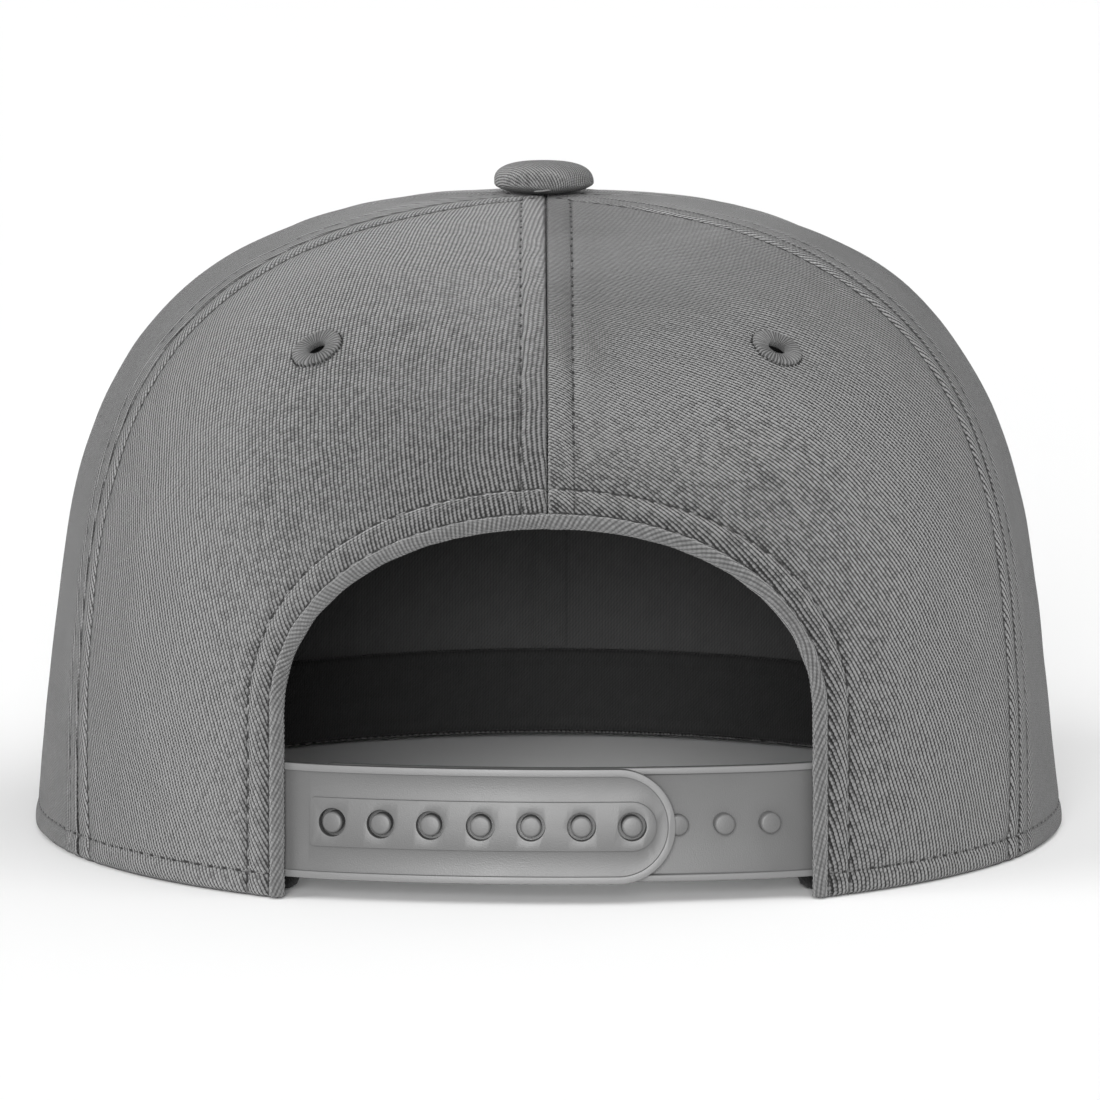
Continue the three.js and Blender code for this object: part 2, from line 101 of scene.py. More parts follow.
def crownPoint(angle, share):
    angle, share = np.broadcast_arrays(np.asarray(angle, float), np.asarray(share, float))
    a = np.radians(angle)
    toEnd = np.cos(a) ** 2
    blend = lambda side, rear, front: side + toEnd * (np.where(np.cos(a) > 0, rear, front) - side)
    lean, rise, rounding = map(blend, crown["side"], crown["rear"], crown["front"])
    sine, cosine = np.sin(share * np.pi / 2), np.maximum(np.cos(share * np.pi / 2), 0)
    grown = bisect(lambda k: (k * sine) ** rise + (k * cosine) ** rounding < 1,
                   np.full(share.shape, 0.5), np.full(share.shape, 1.5), 34)
    up = grown * sine
    out = rimRadius(angle) * grown * cosine * (1 - lean * up)
    z = rimHeight(angle) * (1 - up) + crown["height"] * up
    return np.stack([out * np.sin(a) + crown["lean"] * up ** 2, axisY - out * np.cos(a), z], -1)


def unitLength(rows):
    return rows / np.linalg.norm(rows, axis=-1, keepdims=True)


def crownNormal(angle, share):
    along = crownPoint(angle + 0.5, share) - crownPoint(angle - 0.5, share)
    above, below = np.minimum(0.995, share + 0.004), np.maximum(0, share - 0.004)
    return unitLength(np.cross(along, crownPoint(angle, above) - crownPoint(angle, below)))


def crownFace(angle, share):
    return crownPoint(angle, share), crownNormal(angle, share)


def seamAngle(seam, share):
    rim, middle, top = seams[seam]
    return rim + (top - rim) * share + (middle - (rim + top) / 2) * 4 * share * (1 - share)


def degreeWidth(angle, share):
    return np.linalg.norm(crownPoint(angle + 0.5, share) - crownPoint(angle - 0.5, share), axis=-1)


def shareAtHeight(angle, height):
    return bisect(lambda share: crownPoint(angle, share)[..., 2] < height,
                  np.zeros(np.shape(angle)), np.ones(np.shape(angle)), 26)


arch = {
    "width": 89.2, "spring": 31, "top": 63.4, "squareness": 2.1, "sideGrow": 0.7,
    "roll": 1.25, "crisp": 0.65, "lumpPitch": 0.85, "lowLumps": (44, 34),  # its folded edge
}


# Angle and share along half of the arch's outline, from the rim up to the centre seam, grown by a margin.
def archLine(grow, count):
    half = arch["width"] / 2 + arch["sideGrow"] + grow
    turn = np.linspace(0, np.pi / 2, 160)
    x = half * np.cos(turn) ** (2 / arch["squareness"])
    z = arch["spring"] + (arch["top"] + grow - arch["spring"]) * np.sin(turn) ** (2 / arch["squareness"])
    x, z = np.append(np.full(40, half), x), np.append(np.linspace(0, arch["spring"], 40, endpoint=False), z)
    x[-1] = 0
    angle = np.degrees(np.arcsin(x / 100))
    for step in range(7):
        share = shareAtHeight(angle, z)
        at = crownPoint(angle, share)
        across = at[:, 0] - crown["lean"] * (z / crown["height"]) ** 2
        radius = np.hypot(across, at[:, 1] - axisY)
        angle = np.degrees(np.arcsin(np.clip(x / radius, -1, 1)))
    share = shareAtHeight(angle, z)
    length = pathLength(crownPoint(angle, share))
    even = np.linspace(0, length[-1], count)
    return np.interp(even, length, angle), np.interp(even, length, share)


# A line beside the arch at a true distance from its edge, found between lines grown by more and less.
def archRow(distance, count):
    edge = crownPoint(*archLine(0, 300))
    grows = np.linspace(distance * 0.6, distance * 1.35 + 0.5, 7)
    grown = np.array([archLine(grow, count) for grow in grows])
    far = np.array([nearest(crownPoint(*line), edge) for line in grown])
    return [np.array([np.interp(distance, far[:, i], grown[:, which, i]) for i in range(count)])
            for which in (0, 1)]


def pathLength(points):
    return np.append(0, np.cumsum(np.linalg.norm(np.diff(points, axis=0), axis=1)))


def pickRows(at, length, rows):
    return np.stack([np.interp(at, length, column) for column in rows.T], -1)


# Distance of each place to a line of points.
def nearest(places, line):
    start, run = line[:-1], np.diff(line, axis=0)
    square = np.maximum((run ** 2).sum(1), 1e-9)
    found = np.empty(len(places))
    for first in range(0, len(places), 3000):
        part = places[first:first + 3000, None] - start[None]
        share = np.clip((part * run).sum(-1) / square, 0, 1)
        found[first:first + 3000] = np.linalg.norm(part - share[..., None] * run, axis=-1).min(1)
    return found


# mesh helpers

def clearSelection():
    bpy.ops.object.select_all(action="DESELECT")


def selectOnly(*chosen):
    clearSelection()
    for piece in chosen:
        piece.select_set(True)
    bpy.context.view_layer.objects.active = chosen[0]


def addPatch(name, columns, rows):
    clearSelection()
    bpy.ops.mesh.primitive_grid_add(x_subdivisions=columns, y_subdivisions=rows, size=1, calc_uvs=True)
    patch = bpy.context.object
    patch.name = patch.data.name = name
    shares = readPlaces(patch)[:, :2] + 0.5
    return patch, shares[:, 0], shares[:, 1]


def readPlaces(piece):
    places = np.empty(len(piece.data.vertices) * 3)
    piece.data.vertices.foreach_get("co", places)
    return places.reshape(-1, 3)


def writePlaces(piece, millimetres):
    piece.data.vertices.foreach_set("co", np.ascontiguousarray(millimetres * 0.001).ravel())
    piece.data.update()


def writeUv(piece, flat):
    corner = np.empty(len(piece.data.loops), dtype=np.int32)
    piece.data.loops.foreach_get("vertex_index", corner)
    piece.data.uv_layers[0].data.foreach_set("uv", np.ascontiguousarray(flat[corner]).ravel())


def writeValue(piece, name, values):
    piece.data.attributes.new(name, "FLOAT", "POINT").data.foreach_set("value", values)


def applyModifier(piece, kind, **settings):
    selectOnly(piece)
    modifier = piece.modifiers.new(kind.lower(), kind)
    for key, value in settings.items():
        setattr(modifier, key, value)
    bpy.ops.object.modifier_apply(modifier=modifier.name)


def combine(piece, other, operation):
    applyModifier(piece, "BOOLEAN", object=other, operation=operation, solver="EXACT")
    bpy.data.objects.remove(other)


def roundEdges(piece, width, segments):
    applyModifier(piece, "BEVEL", width=width, segments=segments, limit_method="ANGLE",
                  angle_limit=math.radians(35))


def editAll(piece, *steps):
    selectOnly(piece)
    bpy.ops.object.mode_set(mode="EDIT")
    bpy.ops.mesh.select_all(action="SELECT")
    for step in steps:
        step()
    bpy.ops.object.mode_set(mode="OBJECT")


def joinPieces(piece, *others):
    selectOnly(piece, *others)
    bpy.ops.object.join()
    return piece


def closeMesh(piece):
    editAll(piece, lambda: bpy.ops.mesh.remove_doubles(threshold=1e-6),
            lambda: bpy.ops.mesh.normals_make_consistent(inside=False))


def dress(piece, material, angle=None):
    piece.data.materials.clear()
    piece.data.materials.append(material)
    selectOnly(piece)
    if angle is None:
        bpy.ops.object.shade_smooth()
    else:
        bpy.ops.object.shade_smooth_by_angle(angle=math.radians(angle))


def finishPiece(piece, node):
    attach(piece, "root")
    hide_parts(node)


def gatherEnds(share, amount):
    return share - amount * np.sin(2 * np.pi * share) / (2 * np.pi)


def noiseAt(x, y, z):
    return np.array([noise.noise(Vector(place)) for place in np.broadcast(x, y, z)])


def lumpsAt(places, size, shift=0):
    return np.array([noise.noise(Vector((p[0] + shift, p[1], p[2])) / size) for p in places])


# materials

# A shader node with its settings. Its inputs come in order, as links, values, or None for one left alone.
def addNode(tree, kind, *inputs, **settings):
    node = tree.nodes.new("ShaderNode" + kind)
    for key, value in settings.items():
        setattr(node, key, value)
    for socket, value in zip(node.inputs, inputs):
        if isinstance(value, bpy.types.NodeSocket):
            tree.links.new(value, socket)
        elif value is not None:
            socket.default_value = value
    return node


def calculator(tree):
    return lambda operation, *values: addNode(tree, "Math", *values, operation=operation).outputs[0]


def newMaterial(name, roughness, sheen=0.0, specular=0.3):
    material = bpy.data.materials.new(name)
    material.use_nodes = True
    tree = material.node_tree
    shader = tree.nodes["Principled BSDF"]
    shader.inputs["Roughness"].default_value = roughness
    shader.inputs["Specular IOR Level"].default_value = specular
    shader.inputs["Sheen Weight"].default_value = sheen
    shader.inputs["Sheen Roughness"].default_value = 0.5
    return material, tree, shader


def addNoise(tree, vector, scale, detail=2.0, output="Fac"):
    return addNode(tree, "TexNoise", vector, None, scale, detail).outputs[output]


def addMix(tree, factor, first, second):
    node = tree.nodes.new("ShaderNodeMix")
    node.data_type = "RGBA"
    tree.links.new(factor, node.inputs["Factor"])
    colours = [s for s in node.inputs if s.type == "RGBA"]
    for socket, value in zip(colours, (first, second)):
        if isinstance(value, (int, float)):
            socket.default_value = (value, value, value, 1)
        else:
            tree.links.new(value, socket)
    return [s for s in node.outputs if s.type == "RGBA"][0]


def addBump(tree, shader, height, distance):
    node = tree.nodes.new("ShaderNodeBump")
    node.inputs["Strength"].default_value = 1
    node.inputs["Distance"].default_value = distance
    tree.links.new(height, node.inputs["Height"])
    tree.links.new(node.outputs["Normal"], shader.inputs["Normal"])


def addRange(tree, value, *limits):
    return addNode(tree, "MapRange", value, *limits, interpolation_type="SMOOTHSTEP").outputs[0]


def uvPlaces(tree):
    return addNode(tree, "UVMap", uv_map="UVMap").outputs["UV"]


def objectPlaces(tree):
    return addNode(tree, "TexCoord").outputs["Object"]


def readAttribute(tree, name):
    return addNode(tree, "Attribute", attribute_name=name).outputs["Fac"]


def splitAxes(tree, vector):
    node = addNode(tree, "SeparateXYZ", vector)
    return node.outputs[0], node.outputs[1]


twill = {
    "rib": 0.67, "cross": 0.56, "slope": 0.21,  # mm between ribs and between cross threads, and their slant
    "sharp": 1.15, "pit": 0.3, "crossDip": 0.22, "curve": 1.8, "uneven": 0.5,  # the shape and tone of a rib
    "wander": 1.7, "wanderScale": 0.06, "patchScale": 0.035, "patches": (0.9, 1.15), "mottle": 0.16,
    # dark is the painted shade in the weave's pits, light the painted light on its rib tops
    "dark": 0.003, "light": 0.143, "relief": 0.36,
    "middle": (-0.18, 0.73),  # crisper cloth is painted with a darker middle tone, which the panels use for painted shade and painted sheen
    "row": 0.38, "rowDepth": 0.25, "rowShade": 0.85,  # a stitched line's half width, depth and the painted shade in its groove
    "seam": 0.62,  # half width of the shaded line at a seam
    "rows": {"seamNear": (0, 4.5), "rimNear": (4.0,), "archNear": (2.5, 7.0)},
}


# Ribs joined by finer threads, with a pit at each gap; the tone follows the relief, so rib tops are painted
# light and the pits dark with painted shade. UV is in mm, with the ribs along its second axis.
def twillMaterial(name, rows, light=twill["light"]):
    material, tree, shader = newMaterial(name, 0.92, 0.32, 0.2)
    calc, uv = calculator(tree), uvPlaces(tree)
    wander = addNoise(tree, uv, twill["wanderScale"], 4, "Color")
    reach = (twill["wander"], twill["wander"], 0)
    moved = addNode(tree, "VectorMath", wander, reach, uv, operation="MULTIPLY_ADD")
    sideways, lengthways = splitAxes(tree, moved.outputs[0])
    ribs = calc("DIVIDE", sideways, twill["rib"])
    slant = calc("MULTIPLY", sideways, -twill["slope"] / twill["cross"])
    steps = calc("ADD", calc("DIVIDE", lengthways, twill["cross"]), slant)
    across, along = [calc("SUBTRACT", calc("FRACT", count), 0.5) for count in (ribs, steps)]
    rib = calc("POWER", calc("COSINE", calc("MULTIPLY", across, math.pi)), twill["sharp"])
    cross = calc("COSINE", calc("MULTIPLY", along, math.pi))
    pit = calc("MULTIPLY", calc("MULTIPLY_ADD", cross, -twill["pit"], 1.0), -1.0)
    height = calc("MULTIPLY_ADD", calc("SUBTRACT", 1.0, rib), pit, 1.0)
    height = calc("MULTIPLY", height, calc("MULTIPLY_ADD", cross, twill["crossDip"], 1 - twill["crossDip"]))
    cell = addNode(tree, "CombineXYZ", calc("FLOOR", ribs), calc("FLOOR", steps)).outputs[0]
    speckle = addNode(tree, "TexWhiteNoise", cell, noise_dimensions="2D").outputs["Value"]
    lift = calc("MULTIPLY_ADD", speckle, twill["uneven"], 1 - twill["uneven"] / 2)
    patches = addRange(tree, addNoise(tree, uv, twill["patchScale"], 2), 0.35, 0.6, *twill["patches"])
    crisp = calc("MULTIPLY", readAttribute(tree, "crisp"), patches)
    # the tone follows the rib's height: painted light on the tops and painted shade in the pits, with random
    # speckle
    ribTone = calc("MULTIPLY", calc("POWER", height, twill["curve"]), lift)
    # crisper weave gets a darker middle tone: through the panels' crispness this paints shade low on the
    # right back panel and a lighter, sheen-lit top
    middle = calc("MULTIPLY_ADD", crisp, *twill["middle"])
    tone = calc("MULTIPLY_ADD", calc("SUBTRACT", ribTone, 0.5), crisp, middle)
    mottle = calc("MULTIPLY_ADD", addNoise(tree, uv, 0.12, 3), twill["mottle"], -twill["mottle"] / 2)
    tone = calc("ADD", tone, mottle)
    relief = calc("MULTIPLY", calc("MULTIPLY", height, lift), twill["relief"])
    relief = calc("MULTIPLY", relief, calc("MINIMUM", crisp, 1.0))
    for attribute, places in rows.items():
        near = readAttribute(tree, attribute)
        for place in places:
            off = calc("ABSOLUTE", calc("SUBTRACT", near, place))
            groove = addRange(tree, off, 0.03, twill["row" if place else "seam"], 1.0, 0.0)
            relief = calc("SUBTRACT", relief, calc("MULTIPLY", groove, twill["rowDepth"]))
            # darken the grooves at the stitched rows and seams: painted shade
            tone = calc("MULTIPLY", tone, calc("MULTIPLY_ADD", groove, -twill["rowShade"], 1.0))
    tone = addNode(tree, "Clamp", tone).outputs[0]
    tree.links.new(addMix(tree, tone, twill["dark"], light), shader.inputs["Base Color"])
    addBump(tree, shader, relief, 0.001)
    return material


# Dark cloth with a fine diagonal, for the lining, tapes and band.
def darkCloth(name, dark, light, pitch):
    material, tree, shader = newMaterial(name, 0.85, 0.05, 0.2)
    calc, uv = calculator(tree), uvPlaces(tree)
    x, y = splitAxes(tree, uv)
    wave = calc("SINE", calc("MULTIPLY", calc("ADD", x, y), 2 * math.pi / pitch))
    cross = calc("SINE", calc("MULTIPLY", x, 2 * math.pi / (pitch * 0.8)))
    height = calc("MULTIPLY_ADD", calc("ADD", wave, cross), 0.22, 0.5)
    # the raised lines of the diagonal are painted lighter and the furrows darker: painted shade, with random
    # blotches
    tone = calc("ADD", height, calc("MULTIPLY_ADD", addNoise(tree, uv, 0.3, 3), 0.6, -0.3))
    tree.links.new(addMix(tree, tone, dark, light), shader.inputs["Base Color"])
    addBump(tree, shader, calc("MULTIPLY", height, 0.12), 0.001)
    return material


def threadMaterial(name, dark, light):
    material, tree, shader = newMaterial(name, 0.6, 0.15, 0.35)
    calc, places = calculator(tree), objectPlaces(tree)
    grain = addNoise(tree, places, 2600, 2)
    patchy = addRange(tree, addNoise(tree, places, 700, 2), 0.35, 0.65, 0.0, 1.0)
    tone = calc("MULTIPLY", patchy, calc("MULTIPLY_ADD", grain, 0.6, 0.6))
    tree.links.new(addMix(tree, tone, dark, light), shader.inputs["Base Color"])
    addBump(tree, shader, grain, 0.00008)
    return material


# Satin stitch: UV runs one turn of its first axis from thread to thread.
def satinMaterial(name, dark, light):
    material, tree, shader = newMaterial(name, 0.6, 0.1, 0.35)
    calc, uv = calculator(tree), uvPlaces(tree)
    wave = calc("MULTIPLY_ADD", calc("SINE", splitAxes(tree, uv)[0]), 0.5, 0.5)
    patchy = calc("MULTIPLY_ADD", addNoise(tree, uv, 0.6, 3), 1.3, 0.3)
    # the thread crests are painted light and the gaps between threads dark: painted shade
    tone = calc("MULTIPLY", calc("POWER", wave, 0.7), patchy)
    tree.links.new(addMix(tree, tone, dark, light), shader.inputs["Base Color"])
    addBump(tree, shader, wave, 0.00012)
    return material


def plasticMaterial(name, tone):
    material, tree, shader = newMaterial(name, 0.42, 0, 0.45)
    places = objectPlaces(tree)
    cloud = addNoise(tree, places, 90, 3)
    plain = addMix(tree, cloud, tone * 0.94, tone * 1.05)
    # the lips are painted half again brighter: a painted highlight along the rounded lips
    tree.links.new(addMix(tree, readAttribute(tree, "lip"), plain, tone * 1.5), shader.inputs["Base Color"])
    tree.links.new(calculator(tree)("MULTIPLY_ADD", cloud, 0.14, 0.36), shader.inputs["Roughness"])
    addBump(tree, shader, addNoise(tree, places, 5200, 2), 0.00003)
    return material


panelTwill = twillMaterial("panelTwill", twill["rows"])
# the button's twill is a lighter copy of the panels' cloth: painted light on the button
plainTwill = twillMaterial("buttonTwill", {}, light=0.185)
visorTwill = twillMaterial("visorTwill", {"edgeNear": tuple(
    visor["rowGap"] * (i + 1) for i in range(visor["rows"]))})
liningCloth = darkCloth("liningCloth", 0.038, 0.062, 0.75)
tapeCloth = darkCloth("tapeCloth", 0.035, 0.06, 0.65)
bandCloth = darkCloth("bandCloth", 0.013, 0.026, 0.7)
sewingThread = threadMaterial("sewingThread", 0.015, 0.16)
darkThread = threadMaterial("darkThread", 0.003, 0.008)
# near-black marks at the needle holes: painted shade in the pits
needlePitShade = threadMaterial("needlePitShade", 0.002, 0.006)
# near-black stitches along the side seams that paint the seam's groove dark: painted shade
seamThreadAndShade = threadMaterial("seamThreadAndShade", 0.003, 0.05)
eyeletThread = satinMaterial("eyeletThread", 0.03, 0.145)
strapPlastic = plasticMaterial("strapPlastic", 0.076)
print("materials made")

# stitches: one is modelled, and rows of it are copied along a line

stitch = {"pitch": 3.0, "length": 1.2, "width": 0.14, "height": 0.17, "sunk": 0.16, "shift": 0}
needle = {"pitch": 3.0, "length": 0.62, "width": 0.25, "height": 0.1, "sunk": 0.02, "shift": 1.5}
sideNeedle = {"pitch": 2.6, "length": 0.85, "width": 0.15, "height": 0.1, "sunk": 0.02, "shift": 0}
seamStitch = {"pitch": 1.25, "length": 0.5, "width": 0.2, "height": 0.25, "sunk": 0.3, "shift": 0}
crooked = 0.07  # how far a stitch strays, in mm and as a slope
bandStitch = {"pitch": 2.6, "length": 0.75, "width": 0.24, "height": 0.12, "sunk": 0.02, "shift": 0}


def modelStitch():
    clearSelection()
    bpy.ops.mesh.primitive_uv_sphere_add(segments=8, ring_count=6, radius=1)
    bpy.ops.transform.rotate(value=math.pi / 2, orient_axis="Y", center_override=(0, 0, 0))
    bpy.ops.object.transform_apply(location=False, rotation=True, scale=False)
    model = bpy.context.object
    places, faces = readPlaces(model), [tuple(face.vertices) for face in model.data.polygons]
    bpy.data.objects.remove(model)
    return places, faces


stitchPlaces, stitchFaces = modelStitch()


def sewRow(name, line, normals, material, scale=1.0, settings=stitch):
    length = pathLength(line)
    count = max(2, int(length[-1] / settings["pitch"]))
    middles = (np.arange(count) + 0.5) * length[-1] / count + settings["shift"]
    at, up = pickRows(middles, length, line), pickRows(middles, length, normals)
    ahead = unitLength(pickRows(middles + 0.5, length, line) - pickRows(middles - 0.5, length, line))
    side = unitLength(np.cross(up, ahead))
    up = np.cross(ahead, side)
    places, faces = [], []
    for i in range(count):
        forward = ahead[i] + side[i] * random.uniform(-crooked, crooked)
        long = settings["length"] * random.uniform(0.7, 1.2)
        wide, high = settings["width"] * scale, settings["height"] * scale
        shape = (stitchPlaces[:, :1] * long * forward + stitchPlaces[:, 1:2] * wide * side[i]
                 + stitchPlaces[:, 2:] * high * up[i])
        arch = (1 - stitchPlaces[:, :1] ** 2) * 0.1 - settings["sunk"]
        places.append(at[i] + shape + arch * up[i] + side[i] * random.uniform(-crooked, crooked))
        faces += [tuple(v + i * len(stitchPlaces) for v in face) for face in stitchFaces]
    mesh = bpy.data.meshes.new(name)
    mesh.from_pydata((np.concatenate(places) * 0.001).tolist(), [], faces)
    mesh.uv_layers.new(name="UVMap")
    row = bpy.data.objects.new(name, mesh)
    scene.collection.objects.link(row)
    dress(row, material)
    return row


# A row of visible stitches with the pits where the needle went in, painted near black as painted shade.
def topstitch(name, line, normals):
    return [sewRow(name, line, normals, sewingThread),
            sewRow(name, line, normals, needlePitShade, settings=needle)]


# crown panels

panel = {
    "wall": 0.9, "columns": 112, "rows": 140, "seamRow": 4.5, "rimRow": 4.0, "archRows": (2.5, 7.0),
    "seamRoll": 0.8, "rimRoll": 0.9, "archRoll": (1.6, 0.6),
    "furrow": (0.8, 0.24), "rimFurrow": (0.7, 0.22), "archFurrow": (0.7, 0.24),  # width and depth at the rows
    "puff": 0.26, "rimPuff": 0.16, "archPuff": (4.5, 0.22), "rise": (7.2, 2.0, 0.14),  # swelling by the rows
    "waves": (26, 0.4), "ripples": (9, 0.16), "calm": 0.25,
    "ribs": {"back_left": 113, "back_right": 108, "side_left": 104, "side_right": 112,
             "front_left": 60, "front_right": 120},
    "bend": {"back_right": 0.0075},  # how its ribs turn on the way up
    "scale": {"back_right": 0.79, "back_left": 0.92},  # smaller is a coarser weave
    "crisp": {"back_right": 2.5, "back_left": 1.5}, "usualCrisp": 1.2,  # contrast of the weave, which also darkens its tone; the two back panels differ to paint shade low on the right one
    "fade": {"back_right": 0.68, "back_left": 0.22}, "usualFadeAndSheen": 0.45,  # how much of it is lost at the top, which also paints the top lighter as a painted sheen
}
sides = {"right": 1, "left": -1}
panelSeams = {
    "back": ("rear", "rearSide"), "side": ("rearSide", "frontSide"), "front": ("frontSide", "front"),
}
seamShares = np.linspace(0, crown["top"], 220)


def roll(distance, radius):
    inner = np.clip(radius - distance, 0, radius)
    return radius - np.sqrt(np.maximum(radius ** 2 - inner ** 2, 0))


def bell(distance, at, width):
    return np.exp(-((distance - at) / width) ** 2)


def hump(distance, end):
    return np.sin(np.pi * np.clip(distance / end, 0, 1))


def panelLines(kind, sign):
    lines = {"seams": [crownPoint(sign * seamAngle(seam, seamShares), seamShares)
                       for seam in panelSeams[kind]]}
    first, last = seams[panelSeams[kind][0]][0], seams[panelSeams[kind][1]][0]
    rimAngles = sign * np.linspace(first - 2, last + 2, 80)
    lines["rim"] = crownPoint(rimAngles, 0 * rimAngles)
    if kind == "back":
        archAngles, archShares = archLine(0, 160)
        half = crownPoint(archAngles, archShares)
        other = half * (-1, 1, 1)
        lines["arch"] = np.concatenate([half, other[::-1]])
    return lines


# The outer face of the cloth: seams roll in, rows of stitches pull it down, and the rest swells a little.
def clothSurface(angle, share, lines):
    point, normal = crownFace(angle, share)
    seamNear = np.minimum(*[nearest(point, line) for line in lines["seams"]])
    rimNear = nearest(point, lines["rim"])
    archNear = nearest(point, lines["arch"]) if "arch" in lines else np.full(len(point), 99.0)
    uneven = 1 + 0.5 * lumpsAt(point, 5.0)
    fade = smooth(share, 0.99, 0.9)

    def pulled(distance, at, furrow):
        return bell(distance, at, furrow[0]) * furrow[1]

    besideAt, besideWidth, besideHeight = panel["rise"]
    seamDepth = pulled(seamNear, panel["seamRow"], panel["furrow"])
    seamDepth = seamDepth - hump(seamNear, panel["seamRow"]) * panel["puff"]
    seamDepth = seamDepth - bell(seamNear, besideAt, besideWidth) * besideHeight
    depth = roll(seamNear, panel["seamRoll"]) + seamDepth * uneven * fade
    depth += roll(rimNear, panel["rimRoll"]) + pulled(rimNear, panel["rimRow"], panel["rimFurrow"]) * uneven
    depth -= hump(rimNear, panel["rimRow"]) * panel["rimPuff"]
    depth += roll(archNear, panel["archRoll"][0]) * panel["archRoll"][1]
    for row in panel["archRows"]:
        depth += pulled(archNear, row, panel["archFurrow"]) * uneven
    depth -= hump(archNear - panel["archRows"][0], panel["archPuff"][0]) * panel["archPuff"][1]
    calm = smooth(np.minimum(np.minimum(seamNear, rimNear), archNear), 1.0, 9.0)
    waves = sum(lumpsAt(point, size, shift) * height
                for (size, height), shift in ((panel["waves"], 50), (panel["ripples"], 90)))
    depth -= waves * (panel["calm"] + (1 - panel["calm"]) * calm) * fade
    return point - normal * depth[:, None], normal, seamNear, rimNear, archNear


# Back panels are laid between the arch and the side seam, so their threads of mesh follow both.
def backPlaces(across, up):
    archAngles, archShares = archLine(arch["roll"], 400)
    seamPoints = crownPoint(seamAngle("rearSide", seamShares), seamShares)
    length = pathLength(seamPoints)

    def flat(angle, share):
        a = np.radians(angle)
        return np.stack([(1 - share) * np.sin(a), -(1 - share) * np.cos(a)], -1)

    def archAt(s):
        even = np.linspace(0, 1, 400)
        return flat(np.interp(s, even, archAngles), np.interp(s, even, archShares))

    def sideAt(s):
        share = np.interp(s * length[-1], length, seamShares)
        return flat(seamAngle("rearSide", share), share * (1 - s ** 8) + crown["top"] * s ** 8)

    def rimAt(t):
        return flat(archAngles[0] + (seams["rearSide"][0] - archAngles[0]) * t, 0 * t)

    def centreAt(t):
        share = archShares[-1] + (crown["top"] - archShares[-1]) * t
        return flat(seams["rearSide"][2] * smooth(t, 0.985, 1.0), share)

    s, t = up[:, None], across[:, None]
    corners = [archAt(np.zeros(1)), archAt(np.ones(1)), sideAt(np.zeros(1)), sideAt(np.ones(1))]
    place = ((1 - t) * archAt(up) + t * sideAt(up) + (1 - s) * rimAt(across) + s * centreAt(across)
             - (1 - s) * (1 - t) * corners[0] - s * (1 - t) * corners[1]
             - (1 - s) * t * corners[2] - s * t * corners[3])
    share = 1 - np.hypot(place[:, 0], place[:, 1])
    return np.degrees(np.arctan2(place[:, 0], -place[:, 1])), np.clip(share, 0, crown["top"])


def plainPlaces(kind, across, up):
    share = up * crown["top"]
    first, last = seamAngle(panelSeams[kind][0], share), seamAngle(panelSeams[kind][1], share)
    return first + (last - first) * across, share


# Places on flat cloth in mm, turned so that its ribs run at the panel's own angle.
def clothFlat(kind, sign, angle, share):
    name = kind + ("_right" if sign > 0 else "_left")
    middle = (seamAngle(panelSeams[kind][0], share) + seamAngle(panelSeams[kind][1], share)) / 2
    across = sign * (angle - middle) * degreeWidth(sign * angle, share)
    centre = np.mean([seams[seam][0] for seam in panelSeams[kind]])
    upLength = pathLength(crownPoint(sign * np.full(220, centre), seamShares))
    flat = np.stack([across, np.interp(share, seamShares, upLength)], -1)
    bent = panel["bend"].get(name, 0) * flat[:, 1] ** 2 / 2
    flat = turnFlat(flat, panel["ribs"][name]) + np.stack([bent, 0 * bent], -1)
    return flat * panel["scale"].get(name, 1)


def turnFlat(flat, ribAngle):
    turn = math.radians(90 - ribAngle)
    return flat @ np.array([[math.cos(turn), math.sin(turn)], [-math.sin(turn), math.cos(turn)]])


def offsetLine(seam, sign, offset, start, end, lines):
    share = np.linspace(start, end, 160)
    angle = seamAngle(seam, share)
    angle = sign * (angle + offset / degreeWidth(angle, share))
    return clothSurface(angle, share, lines)[:2]


